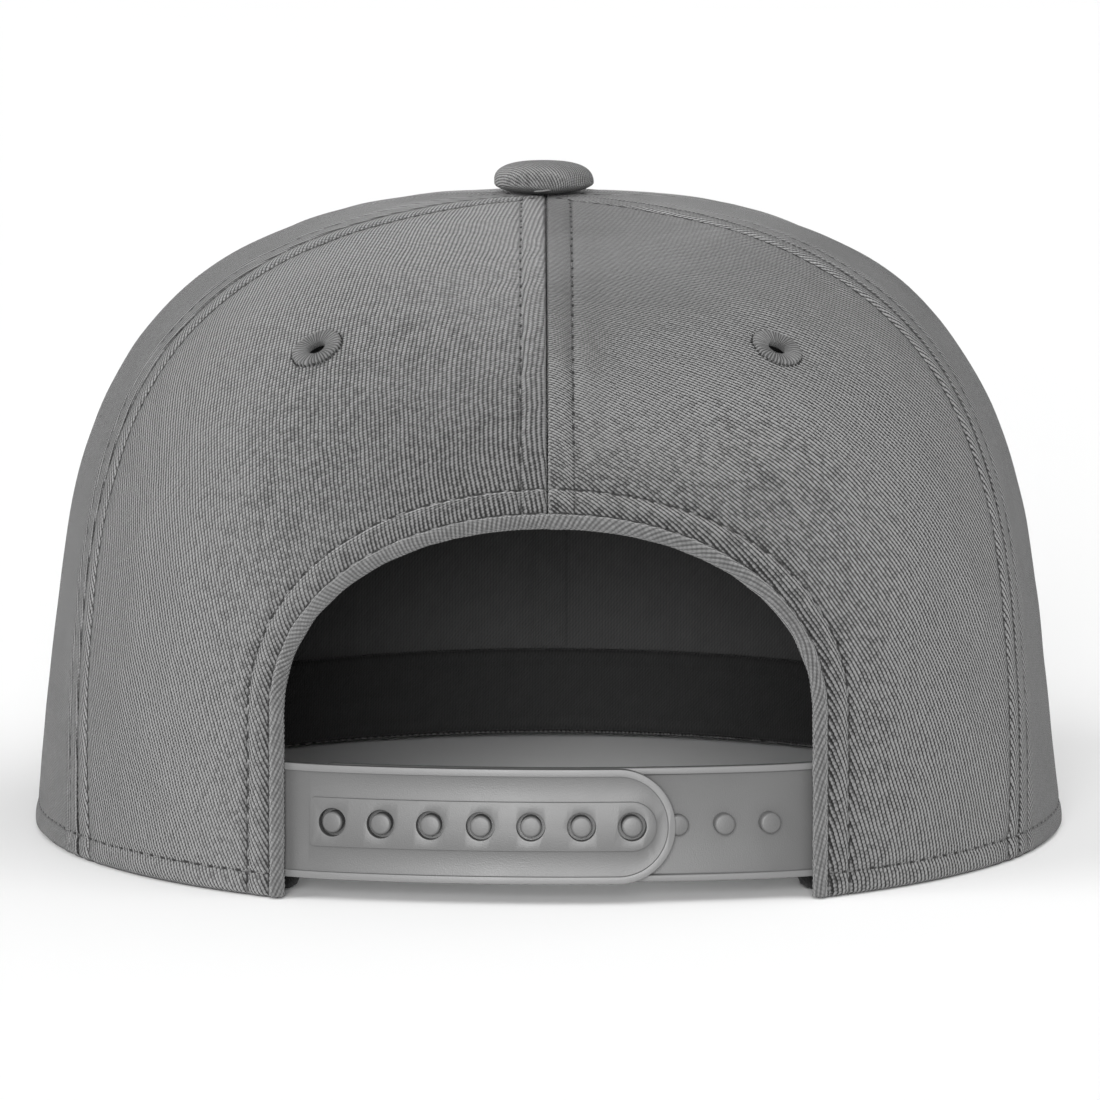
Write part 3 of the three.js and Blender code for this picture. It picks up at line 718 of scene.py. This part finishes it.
def buildPanel(kind, side):
    sign = sides[side]
    name = kind + "_panel_" + side
    lines = panelLines(kind, sign)
    piece, across, up = addPatch(name + "_cloth", panel["columns"], panel["rows"])
    if sign < 0:
        across = 1 - across
    across, up = gatherEnds(across, 0.5), gatherEnds(up, 0.45)
    angle, share = backPlaces(across, up) if kind == "back" else plainPlaces(kind, across, up)
    face, normal, seamNear, rimNear, archNear = clothSurface(sign * angle, share, lines)
    writePlaces(piece, face)
    writeUv(piece, clothFlat(kind, sign, angle, share))
    # crispness sets the weave's contrast and tone: painted shade low on the right back panel, fading to a
    # painted sheen towards the top
    crisp = panel["crisp"].get(kind + "_" + side, panel["usualCrisp"])
    fadeAndSheen = panel["fade"].get(kind + "_" + side, panel["usualFadeAndSheen"])
    values = {"seamNear": seamNear, "rimNear": rimNear, "archNear": archNear,
              "crisp": crisp * (1 - fadeAndSheen * smooth(share, 0.42, 0.75))}
    for attribute, value in values.items():
        writeValue(piece, attribute, value)
    applyModifier(piece, "SOLIDIFY", thickness=panel["wall"] * 0.001, offset=-1)
    dress(piece, panelTwill)
    rows = []
    for seam, inward in zip(panelSeams[kind], (1, -1)):
        low = 0.42 if seam == "rear" else 0.035
        line, up = offsetLine(seam, sign, inward * panel["seamRow"], low, 0.955, lines)
        if seam == "rear":
            rows += topstitch(name + "_row", line, up)
        else:
            rows.append(sewRow(name + "_row", line, up, needlePitShade, settings=sideNeedle))
    seam = panelSeams[kind][0]
    if seam != "rear":
        # near-black stitches in the seam: painted shade of its groove
        share = np.linspace(0.035, 0.955, 160)
        edge = sign * seamAngle(seam, share)
        rows.append(sewRow(name + "_seam", *crownFace(edge, share), seamThreadAndShade, settings=seamStitch))
    rimAngles = np.linspace(seams[panelSeams[kind][0]][0], seams[panelSeams[kind][1]][0], 120)
    if kind == "back":
        for row in panel["archRows"]:
            archAngles, archShares = archRow(row, 160)
            rows += topstitch(name + "_row", *clothSurface(sign * archAngles, archShares, lines)[:2])
        rimAngles = rimAngles[rimAngles > 28.5]
    if kind != "front":
        rimShares = shareAtHeight(rimAngles, rimHeight(rimAngles) + panel["rimRow"])
        rows += topstitch(name + "_row", *clothSurface(sign * rimAngles, rimShares, lines)[:2])
    return piece, rows


eyelet = {
    "at": 0.5175, "across": {"back": 0.523, "side": 0.78, "front": 0.5}, "barrel": 2.3,
    "outer": 4.1, "inner": 1.5, "height": {"back": 0.9, "side": 0.4, "front": 1.0},
    "threads": 38, "ridge": 0.09, "oval": 0.1, "tilt": 0.75, "lift": 0.1, "below": 1.6,
    "pits": {"pitch": 0.78, "length": 0.22, "width": 0.3, "height": 0.3, "sunk": 0.1, "shift": 0},
}


def eyeletPlace(kind, side):
    first, last = [seamAngle(seam, eyelet["at"]) for seam in panelSeams[kind]]
    angle = np.array([sides[side] * (first + (last - first) * eyelet["across"][kind])])
    share = np.array([eyelet["at"]])
    return [face[0] for face in crownFace(angle, share)]


def cutEyelet(piece, at, out):
    clearSelection()
    bpy.ops.mesh.primitive_cylinder_add(
        vertices=24, radius=eyelet["barrel"] * 0.001, depth=0.014, location=at * 0.001,
        rotation=Vector(out).to_track_quat("Z", "Y").to_euler())
    combine(piece, bpy.context.object, "DIFFERENCE")


# A ring of satin stitches laid from the hole outwards.
def buildEyelet(kind, side, at, out):
    sideways = unitLength(np.cross(out, (0, 0, 1.0)))
    upward = np.cross(out, sideways)
    oval = lambda turn: eyelet["oval"] * np.cos(2 * (turn + sides[side] * eyelet["tilt"]))
    place = lambda reach, turn, height: (at + np.outer(reach * np.cos(turn), sideways)
                                         + np.outer(reach * np.sin(turn), upward) + np.outer(height, out))
    piece, around, section = addPatch("eyelet_" + kind + "_" + side + "_thread", 300, 16)
    turn, lap = around * 2 * np.pi, section * 2 * np.pi
    shift = 11.0 * (1 + list(panelSeams).index(kind)) + sides[side] * 3
    ragged = noiseAt(np.cos(turn) * 4, np.sin(turn) * 4, shift)
    fine = np.sin(turn * eyelet["threads"] + 2 * ragged)
    middle, half = (eyelet["outer"] + eyelet["inner"]) / 2, (eyelet["outer"] - eyelet["inner"]) / 2
    radius = middle + half * (1 + 0.1 * ragged + 0.06 * fine) * np.cos(lap)
    slope = 0.55 + 0.45 * np.clip((radius - eyelet["inner"]) / (2 * half), 0, 1)
    top = np.sin(lap)
    raised = np.abs(top) ** 0.5 * eyelet["height"][kind] * slope + fine * eyelet["ridge"]
    height = eyelet["lift"] + np.where(top > 0, raised, top * eyelet["below"])
    writePlaces(piece, place(radius * (1 + oval(turn)), turn, height))
    writeUv(piece, np.stack([turn * eyelet["threads"] + 2 * ragged, lap * 2], -1))
    closeMesh(piece)
    dress(piece, eyeletThread)
    rim = np.linspace(0, 2 * np.pi, 90)
    line = place(eyelet["outer"] * (1.02 + oval(rim)), rim, np.full(90, 0.12))
    # a ring of near-black dots round its edge where the threads go in: painted shade
    joinPieces(piece, sewRow("eyelet_pits", line, np.tile(out, (90, 1)), needlePitShade, settings=eyelet["pits"]))
    finishPiece(piece, "eyelet_" + kind + "_" + side)


# The folded edge of the arch: the panel's own weave carries on over it, and it is lumpier towards the rim.
def buildArchRoll(name, side):
    sign, grow = sides[side], arch["roll"] * 0.95
    archAngles, archShares = archLine(grow, 520)
    centre, normal = crownFace(sign * archAngles, archShares)
    outward = np.cross(normal, unitLength(np.gradient(centre, axis=0))) * sign
    flat = clothFlat("back", sign, archAngles, archShares)
    flatAhead = unitLength(np.gradient(flat, axis=0))
    flatOut = clothFlat("back", sign, *archLine(grow + 1, 520)) - flat
    flatOut = unitLength(flatOut - flatAhead * (flatOut * flatAhead).sum(1)[:, None])
    length = pathLength(centre)
    piece, around, along = addPatch(name, 16, 420)
    turn, run = around * 2 * np.pi - np.pi / 2, along * length[-1]
    pick = lambda rows: pickRows(run, length, rows)
    lumps = np.sin(2 * np.pi * run / arch["lumpPitch"] + turn)
    lumps = lumps * (0.015 + 0.03 * smooth(run, *arch["lowLumps"]))
    radius = arch["roll"] * (1 + lumps + 0.1 * noiseAt(run * 0.25, sign * 9, 0))
    places = (pick(centre) - pick(normal) * 0.85 + (radius * np.cos(turn))[:, None] * pick(outward)
              + (radius * 1.1 * np.sin(turn))[:, None] * pick(normal))
    places[:, 2] = np.maximum(places[:, 2], 0.25)
    writePlaces(piece, places)
    writeUv(piece, pick(flat) + pick(flatOut) * (arch["roll"] * (np.pi / 2 - turn))[:, None])
    for attribute, value in (("seamNear", 20), ("rimNear", 20), ("archNear", 20), ("crisp", arch["crisp"])):
        writeValue(piece, attribute, np.full(len(places), float(value)))
    closeMesh(piece)
    dress(piece, panelTwill)
    return piece


for kind in panelSeams:
    for side in sides:
        cloth, rows = buildPanel(kind, side)
        place = eyeletPlace(kind, side)
        cutEyelet(cloth, *place)
        if kind == "back":
            rows.append(buildArchRoll(cloth.name + "_edge", side))
        joinPieces(cloth, *rows)
        finishPiece(cloth, kind + "_panel_" + side)
        buildEyelet(kind, side, *place)
print("crown panels and eyelets made")

# button

button = {
    "radius": 9, "height": 6.05, "waist": 2.1, "square": 2.7, "shift": -0.45,
    "pleats": 17, "pleatDepth": 0.13, "ribs": 125, "crisp": 1.25, "scale": 1.25,
    "tack": ((-1.2, -8.95, 1.1), (1.0, -9.05, 1.25)),  # ends of the stitch under its rear edge
}


def buildButton():
    clearSelection()
    bpy.ops.mesh.primitive_uv_sphere_add(segments=120, ring_count=60, radius=1)
    piece = bpy.context.object
    piece.name = piece.data.name = "button_cloth"
    ball = readPlaces(piece)
    turn, up = np.arctan2(ball[:, 1], ball[:, 0]), ball[:, 2]
    square = (1 - np.abs(up) ** button["square"]) ** (1 / button["square"])
    widen = np.where(up > 0, square, np.hypot(ball[:, 0], ball[:, 1])) * button["radius"]
    pleat = np.cos(turn * button["pleats"] + 3 * np.sin(turn * 3)) * button["pleatDepth"]
    radius = widen + pleat * np.exp(-((up + 0.05) / 0.35) ** 2)
    height = button["waist"] + up * np.where(up > 0, button["height"] - button["waist"], button["waist"])
    centre = np.array([crown["lean"] + button["shift"], axisY, crown["height"]])
    writePlaces(piece, centre + np.stack([radius * np.cos(turn), radius * np.sin(turn), height], -1))
    order = np.argsort(-up)
    over = np.empty(len(up))
    over[order] = pathLength(np.stack([widen[order], height[order]], -1))
    flat = np.stack([over * np.cos(turn), over * np.sin(turn)], -1) * button["scale"]
    writeUv(piece, turnFlat(flat, button["ribs"]))
    writeValue(piece, "crisp", np.full(len(up), button["crisp"]))
    dress(piece, plainTwill)
    tack = np.linspace(*button["tack"], 12) + centre
    joinPieces(piece, sewRow("button_tack", tack, np.tile([0, -0.8, 0.6], (12, 1)), eyeletThread, 1.2))
    finishPiece(piece, "button")


buildButton()
print("button made")

# inside: lining, tapes and sweatband

inside = {
    "depth": 1.9, "liningWall": 1.0, "liningReach": 0.84,
    "tapeWidth": 7, "tapeWall": 0.8, "tapeStart": 19.1, "tapeReach": 0.9, "frontTapeDepth": 3.4,
}


def insideWall(piece, angle, share, depth, flat, wall, material):
    writePlaces(piece, crownPoint(angle, share) - crownNormal(angle, share) * depth[:, None])
    writeUv(piece, flat)
    applyModifier(piece, "SOLIDIFY", thickness=wall * 0.001, offset=-1)
    dress(piece, material, 40)


def buildLining():
    piece, across, up = addPatch("front_lining_cloth", 110, 70)
    share = up * inside["liningReach"]
    first = seamAngle("frontSide", share)
    first = first + (inside["tapeWidth"] / 2 + 0.6) / degreeWidth(first, share)
    angle = first + (360 - 2 * first) * across
    depth = inside["depth"] + 0.12 * lumpsAt(crownPoint(angle, share), 18) + 0.1
    flat = np.stack([(angle - 180) * degreeWidth(angle, share), share * 150], -1)
    insideWall(piece, angle, share, depth, flat, inside["liningWall"], liningCloth)
    finishPiece(piece, "front_lining")


def buildTape(name, seam, sign):
    piece, across, up = addPatch("seam_tape_" + name + "_cloth", 14, 110)
    lowest = arch["top"] + 2 if seam == "rear" else inside["tapeStart"]
    depth = inside["frontTapeDepth" if seam == "front" else "depth"]
    start = float(shareAtHeight(np.array([seams[seam][0]]), lowest)[0])
    share = start + (inside["tapeReach"] - start) * up
    angle = seamAngle(seam, share)
    offset = (across - 0.5) * inside["tapeWidth"]
    angle = sign * (angle + offset * sign / degreeWidth(angle, share))
    raised = np.exp(-(offset / 1.6) ** 2) * 0.35 - np.exp(-((np.abs(offset) - 2.6) / 0.35) ** 2) * 0.12
    thin = smooth(np.abs(offset), 2.2, 3.5) * 0.3
    flat = np.stack([offset, share * 150], -1)
    insideWall(piece, angle, share, depth + 0.15 + raised * 0.5 - thin, flat, inside["tapeWall"], tapeCloth)
    finishPiece(piece, "seam_tape_" + name)


buildLining()
tapes = {
    "rear": ("rear", 1), "rear_right": ("rearSide", 1), "rear_left": ("rearSide", -1),
    "front_right": ("frontSide", 1), "front_left": ("frontSide", -1), "front": ("front", 1),
}
for name, (seam, sign) in tapes.items():
    buildTape(name, seam, sign)

archHalf = arch["width"] / 2
archDepth = crown["rearReach"] * math.sqrt(1 - (archHalf / (crown["rimWidth"] / 2)) ** 2)
archAngle = math.degrees(math.atan2(archHalf, archDepth))
strap = {
    "height": 19.3, "lift": 3.4, "base": 1.1, "lip": 0.5, "lipWidth": 1.2, "bulge": 6.5, "tuck": 9, "bend": 2,
    "plateauHeight": 8.3, "plateauRise": 0.4, "corner": 1, "edge": 0.22, "end": 21.4,
    "pitch": 8.55, "freePitch": 7.95, "pegs": 10, "holes": 7, "first": -37.2,
    "pegRadius": 1.8, "pegEdge": 0.42, "holeRadius": 2.42,
    "tops": {"inHole": 0.05, "covered": -0.75, "open": -0.5},
}
strapTop = strap["lift"] + strap["height"]
strapMiddle = strap["lift"] + strap["height"] / 2
strapThickness = strap["base"] + strap["lip"]
strapLayer = strapThickness + 0.3
highPoint = crownPoint(np.array([archAngle]), shareAtHeight(np.array([archAngle]), strapTop))[0]
wallLean = float((rimRadius(archAngle) - math.hypot(highPoint[0], highPoint[1] - axisY)) / strapTop)

band = {
    "lift": 0.7, "rise": 0.9, "riseFrom": (30, 90), "height": 14.9, "wall": 1.1,
    "usual": 3.6, "behindStrap": 7.0, "step": 14, "short": 1.1, "corner": 3.2, "rows": (2.3, 12.6),
}


def bandPoint(angle, height, more):
    radians, radius = np.radians(angle), rimRadius(angle)
    clear = math.degrees((strap["tuck"] + 4) / float(rimRadius(archAngle)))
    fromArch = np.minimum(angle, 360 - angle) - archAngle
    away = smooth(fromArch, clear, clear + band["step"])
    depth = band["behindStrap"] + (band["usual"] - band["behindStrap"]) * away + more
    overVisor = np.where(np.cos(radians) < 0, visorBowAt(radius * np.sin(radians)), 0)
    z = band["lift"] + band["rise"] * smooth(fromArch, *band["riseFrom"]) + overVisor + height
    out = radius - depth - wallLean * (z + 1)
    return np.stack([out * np.sin(radians), axisY - out * np.cos(radians), z], -1)


def buildBand():
    piece, across, up = addPatch("sweatband_cloth", 420, 26)
    start = archAngle + band["short"]
    angle = start + (360 - 2 * start) * across
    height = gatherEnds(up, 0.4) * band["height"]
    pulled = roll((np.minimum(angle, 360 - angle) - start) * 1.75, band["corner"])
    height = pulled + height * (1 - 2 * pulled / band["height"])
    run = (angle - 180) * 1.6
    wave = 0.15 * noiseAt(run / 9, height / 14, 3)
    dips = sum(bell(height, row, 0.6) for row in band["rows"]) * 0.25
    rounded = roll(height, 0.6) + roll(band["height"] - height, 0.6)
    writePlaces(piece, bandPoint(angle, height, band["wall"] + wave - dips - rounded))
    writeUv(piece, np.stack([run, height], -1))
    applyModifier(piece, "SOLIDIFY", thickness=band["wall"] * 0.8 * 0.001, offset=-1)
    dress(piece, bandCloth)
    angles = np.linspace(start + 2, 358 - start, 700)
    inwards = np.stack([-np.sin(np.radians(angles)), np.cos(np.radians(angles)), 0 * angles], -1)
    joinPieces(piece, *[
        sewRow("sweatband_row", bandPoint(angles, row, band["wall"] - 0.12), inwards, darkThread,
               settings=bandStitch) for row in band["rows"]])
    finishPiece(piece, "sweatband")


buildBand()
print("lining, tapes and sweatband made")

# snap strap: modelled flat, then wrapped onto its line behind the back panels

lineAngles = np.linspace(-1.5 * archAngle, 1.5 * archAngle, 3001)
lineRadians = np.radians(lineAngles)
arcRadius = (archHalf ** 2 + strap["bulge"] ** 2) / (2 * strap["bulge"])
arcCentre = arcRadius - (archDepth - 1.9) - strap["bulge"]
arcOut = np.sqrt(arcRadius ** 2 - (arcCentre * np.sin(lineRadians)) ** 2) - arcCentre * np.cos(lineRadians)
clothOut = rimRadius(lineAngles) - 1.9
lineShare = np.clip(0.5 + (clothOut - arcOut) / (2 * strap["bend"]), 0, 1)
lineOut = clothOut + (arcOut - clothOut) * lineShare - strap["bend"] * lineShare * (1 - lineShare)
linePoints = np.stack([lineOut * np.sin(lineRadians), axisY - lineOut * np.cos(lineRadians), 0 * lineOut], -1)
lineLength = pathLength(linePoints)
lineLength -= lineLength[-1] / 2


def strapPlaces(along, height, out):
    pick = lambda at: pickRows(at, lineLength, linePoints)
    outward = np.cross(unitLength(pick(along + 0.3) - pick(along - 0.3)), (0, 0, 1.0))
    over = np.clip((along + archHalf) / arch["width"], 0, 1) * strapLayer
    places = pick(along) + outward * (out + over - wallLean * height)[:, None]
    places[:, 2] = height
    return places


# A bar's outline, with its corners rounded at each end.
def stripOutline(start, end, half, startCorner, endCorner):
    corners = [
        (end - endCorner, half - endCorner, endCorner, 90), (end - endCorner, endCorner - half, endCorner, 0),
        (start + startCorner, startCorner - half, startCorner, -90),
        (start + startCorner, half - startCorner, startCorner, 180),
    ]
    places = []
    for x, y, radius, first in corners:
        for i in range(25 if radius else 1):
            turn = math.radians(first - 90 * i / 24)
            place = (x + radius * math.cos(turn), y + radius * math.sin(turn))
            if not places or math.dist(place, places[-1]) > 0.01:
                places.append(place)
    return places


# A flat outline pulled up into a plate; the strap's own units are mm until it is wrapped.
def addPlate(name, outline, low, high):
    clearSelection()
    bpy.ops.mesh.primitive_circle_add(vertices=len(outline), radius=1, fill_type="NGON")
    piece = bpy.context.object
    piece.name = piece.data.name = name
    for vertex, (x, y) in zip(piece.data.vertices, outline):
        vertex.co = (x, y, low)
    editAll(piece, lambda: bpy.ops.mesh.extrude_region_move(
        TRANSFORM_OT_translate={"value": (0, 0, high - low)}),
        lambda: bpy.ops.mesh.select_all(action="SELECT"),
        lambda: bpy.ops.mesh.normals_make_consistent(inside=False))
    return piece


def addPin(x, radius, low, high):
    clearSelection()
    bpy.ops.mesh.primitive_cylinder_add(vertices=36, radius=radius, depth=high - low,
                                        location=(x, 0, (low + high) / 2))
    bpy.ops.object.transform_apply()
    return bpy.context.object


def wrapStrap(piece, start, end, face):
    selectOnly(piece)
    bpy.ops.object.mode_set(mode="EDIT")
    for x in np.arange(math.ceil(start), end, 1.25):
        bpy.ops.mesh.select_all(action="SELECT")
        bpy.ops.mesh.bisect(plane_co=(float(x) + 0.013, 0, 0), plane_no=(1, 0, 0))
    bpy.ops.object.mode_set(mode="OBJECT")
    flat = readPlaces(piece)
    above = flat[:, 2] - face
    # mark the raised lips for their painted highlight
    writeValue(piece, "lip", smooth(above, -0.09, -0.02) * (above < 0.02))
    writePlaces(piece, strapPlaces(flat[:, 0], strapMiddle + flat[:, 1], flat[:, 2]))
    if not piece.data.uv_layers:
        piece.data.uv_layers.new(name="UVMap")
    dress(piece, strapPlastic, 32)


def lippedPlate(name, start, end, roundStart, roundEnd, face):
    half, lip = strap["height"] / 2, strap["lipWidth"]
    piece = addPlate(name, stripOutline(start, end, half, roundStart, roundEnd), face - strapThickness, face)
    pan = addPlate("pan", stripOutline(
        start + (lip if roundStart else -lip), end - (lip if roundEnd else -lip), half - lip,
        roundStart and roundStart - lip, roundEnd and roundEnd - lip), face - strap["lip"], face + 1)
    combine(piece, pan, "DIFFERENCE")
    return piece


lastHole = strap["first"] + (strap["holes"] - 1) * strap["pitch"]
pegPlaces = [strap["first"] + i * strap["pitch"] for i in range(strap["holes"])]
pegPlaces += [lastHole + (i + 1) * strap["freePitch"] for i in range(strap["pegs"] - strap["holes"])]


def buildHoleStrap():
    start, end = -archHalf - strap["tuck"], strap["end"]
    piece = lippedPlate("strap_with_holes_plastic", start, end, 0, strap["height"] / 2, 0)
    half = strap["plateauHeight"] / 2
    plateau = addPlate("plateau", stripOutline(
        pegPlaces[0] - half, pegPlaces[strap["holes"] - 1] + half, half, strap["corner"], half),
        -strap["lip"] - 0.5, -strap["lip"] + strap["plateauRise"])
    combine(piece, plateau, "UNION")
    for x in pegPlaces[:strap["holes"]]:
        combine(piece, addPin(x, strap["holeRadius"], -4, 3), "DIFFERENCE")
    roundEdges(piece, strap["edge"], 3)
    wrapStrap(piece, start, end, 0)
    finishPiece(piece, "strap_with_holes")


def buildPegStrap():
    face = -strapLayer
    start, end = -archHalf + 0.3, archHalf + strap["tuck"]
    piece = lippedPlate("strap_with_pegs_plastic", start, end, strap["height"] * 0.35, 0, face)
    roundEdges(piece, strap["edge"], 3)
    pins = []
    for i, x in enumerate(pegPlaces):
        top = strap["tops"]["inHole" if i < strap["holes"] else "covered" if i == strap["holes"] else "open"]
        pins.append(addPin(x, strap["pegRadius"], face - 1.0, top))
    for pin in pins:
        roundEdges(pin, strap["pegEdge"], 4)
    joinPieces(piece, *pins)
    wrapStrap(piece, start, end, face)
    finishPiece(piece, "strap_with_pegs")


buildHoleStrap()
buildPegStrap()
print("snap strap made")

# visor

def visorOutline(share):
    tipAngle = 180 - visor["halfAngle"]
    radius = float(rimRadius(tipAngle))
    tipX = radius * math.sin(math.radians(tipAngle)) + visor["tip"]
    tipY = axisY - radius * math.cos(math.radians(tipAngle))
    half = tipX + visor["flare"]
    power = 2 / visor["squareness"]
    tipTurn = math.acos((tipX / half) ** (1 / power))
    widestY = tipY + visor["widest"]
    back = visor["widest"] / math.sin(tipTurn) ** power
    front = axisY + crown["frontReach"] + visor["reach"] - widestY
    turn = -tipTurn + (math.pi / 2 + tipTurn) * (1 - np.abs(2 * share - 1))
    x = np.where(share < 0.5, 1, -1) * half * np.maximum(0, np.cos(turn)) ** power
    along = np.abs(np.sin(turn)) ** power
    return np.stack([x, np.where(turn < 0, widestY - back * along, widestY + front * along)], -1)


def buildVisor():
    piece, across, up = addPatch("visor_cloth", 260, 90)
    share, out = across, gatherEnds(up, 0.3)
    tipAngle = 180 - visor["halfAngle"]
    angle = np.radians(tipAngle + 2 * visor["halfAngle"] * share)
    radius = rimRadius(np.degrees(angle)) - visor["seat"]
    outer = visorOutline(share)
    x = radius * np.sin(angle) * (1 - out) + outer[:, 0] * out
    y = (axisY - radius * np.cos(angle)) * (1 - out) + outer[:, 1] * out
    edge = visorOutline(np.linspace(0, 1, 500))
    edge = np.append(edge, np.zeros((500, 1)), axis=1)
    edgeNear = nearest(np.stack([x, y, 0 * x], -1), edge)
    rows = visor["rowGap"] * (np.arange(visor["rows"]) + 1)
    dips = sum(bell(edgeNear, row, 0.7) for row in rows) * visor["rowDepth"]
    bulk = visor["thickness"] - 0.35
    z = visorBowAt(x) + bulk + 0.2 - roll(edgeNear, 1.4) - dips + 0.05
    writePlaces(piece, np.stack([x, y, z], -1))
    writeUv(piece, turnFlat(np.stack([x, y], -1), visor["ribs"]))
    writeValue(piece, "edgeNear", edgeNear)
    writeValue(piece, "crisp", np.full(len(x), panel["usualCrisp"]))
    selectOnly(piece)
    if piece.data.polygons[0].normal.z < 0:
        editAll(piece, lambda: bpy.ops.mesh.flip_normals())
    applyModifier(piece, "SOLIDIFY", thickness=bulk * 0.001, offset=-1)
    dress(piece, visorTwill, 50)
    finishPiece(piece, "visor")


buildVisor()
print("visor made")

# floor, light and camera

stage = {
    "floor": 0.9, "world": 0.3,
    "cameraBack": 1184.9, "cameraUp": 0.1899, "cameraTilt": 83.206, "lens": 214.5, "shift": 0.0013,
}
lamps = {  # soft suns: degrees round from behind the camera to the left, degrees up, softness and strength
    "key": {"round": 68, "up": 24, "soft": 45, "strength": 1.5},
    "front": {"round": 4, "up": 13, "soft": 24, "strength": 4.1},
    "far": {"round": -105, "up": 35, "soft": 70, "strength": 0.6},
    "high": {"round": -45, "up": 60, "soft": 60, "strength": 0.95},
}


def buildStage():
    clearSelection()
    bpy.ops.mesh.primitive_plane_add(size=30, location=(0, 0, -0.0002))
    floor = bpy.context.object
    floor.name = "floor"
    material, tree, shader = newMaterial("floorPaint", 0.8, 0, 0.1)
    cloud = addNoise(tree, objectPlaces(tree), 3, 2)
    tree.links.new(addMix(tree, cloud, stage["floor"] * 0.99, stage["floor"]), shader.inputs["Base Color"])
    floor.data.materials.append(material)
    world = bpy.data.worlds.new("paleRoom")
    world.use_nodes = True
    world.node_tree.nodes["Background"].inputs[0].default_value = (1, 1, 1, 1)
    world.node_tree.nodes["Background"].inputs[1].default_value = stage["world"]
    scene.world = world
    for name, lamp in lamps.items():
        turn, up = math.radians(lamp["round"]), math.radians(lamp["up"])
        away = Vector((-math.sin(turn) * math.cos(up), -math.cos(turn) * math.cos(up), math.sin(up)))
        bpy.ops.object.light_add(type="SUN", location=away * 2,
                                 rotation=away.to_track_quat("Z", "Y").to_euler())
        light = bpy.context.object
        light.name = name + "Light"
        light.data.angle = math.radians(lamp["soft"])
        light.data.energy = lamp["strength"]
    bpy.ops.object.camera_add(location=(0, (axisY - stage["cameraBack"]) * 0.001, stage["cameraUp"]),
                              rotation=(math.radians(stage["cameraTilt"]), 0, 0))
    camera = bpy.context.object
    camera.data.sensor_width = 36
    camera.data.lens = stage["lens"]
    camera.data.shift_x = stage["shift"]
    camera.data.clip_end = 60
    scene.camera = camera
    scene.view_settings.view_transform = "Standard"


buildStage()
print("stage set")
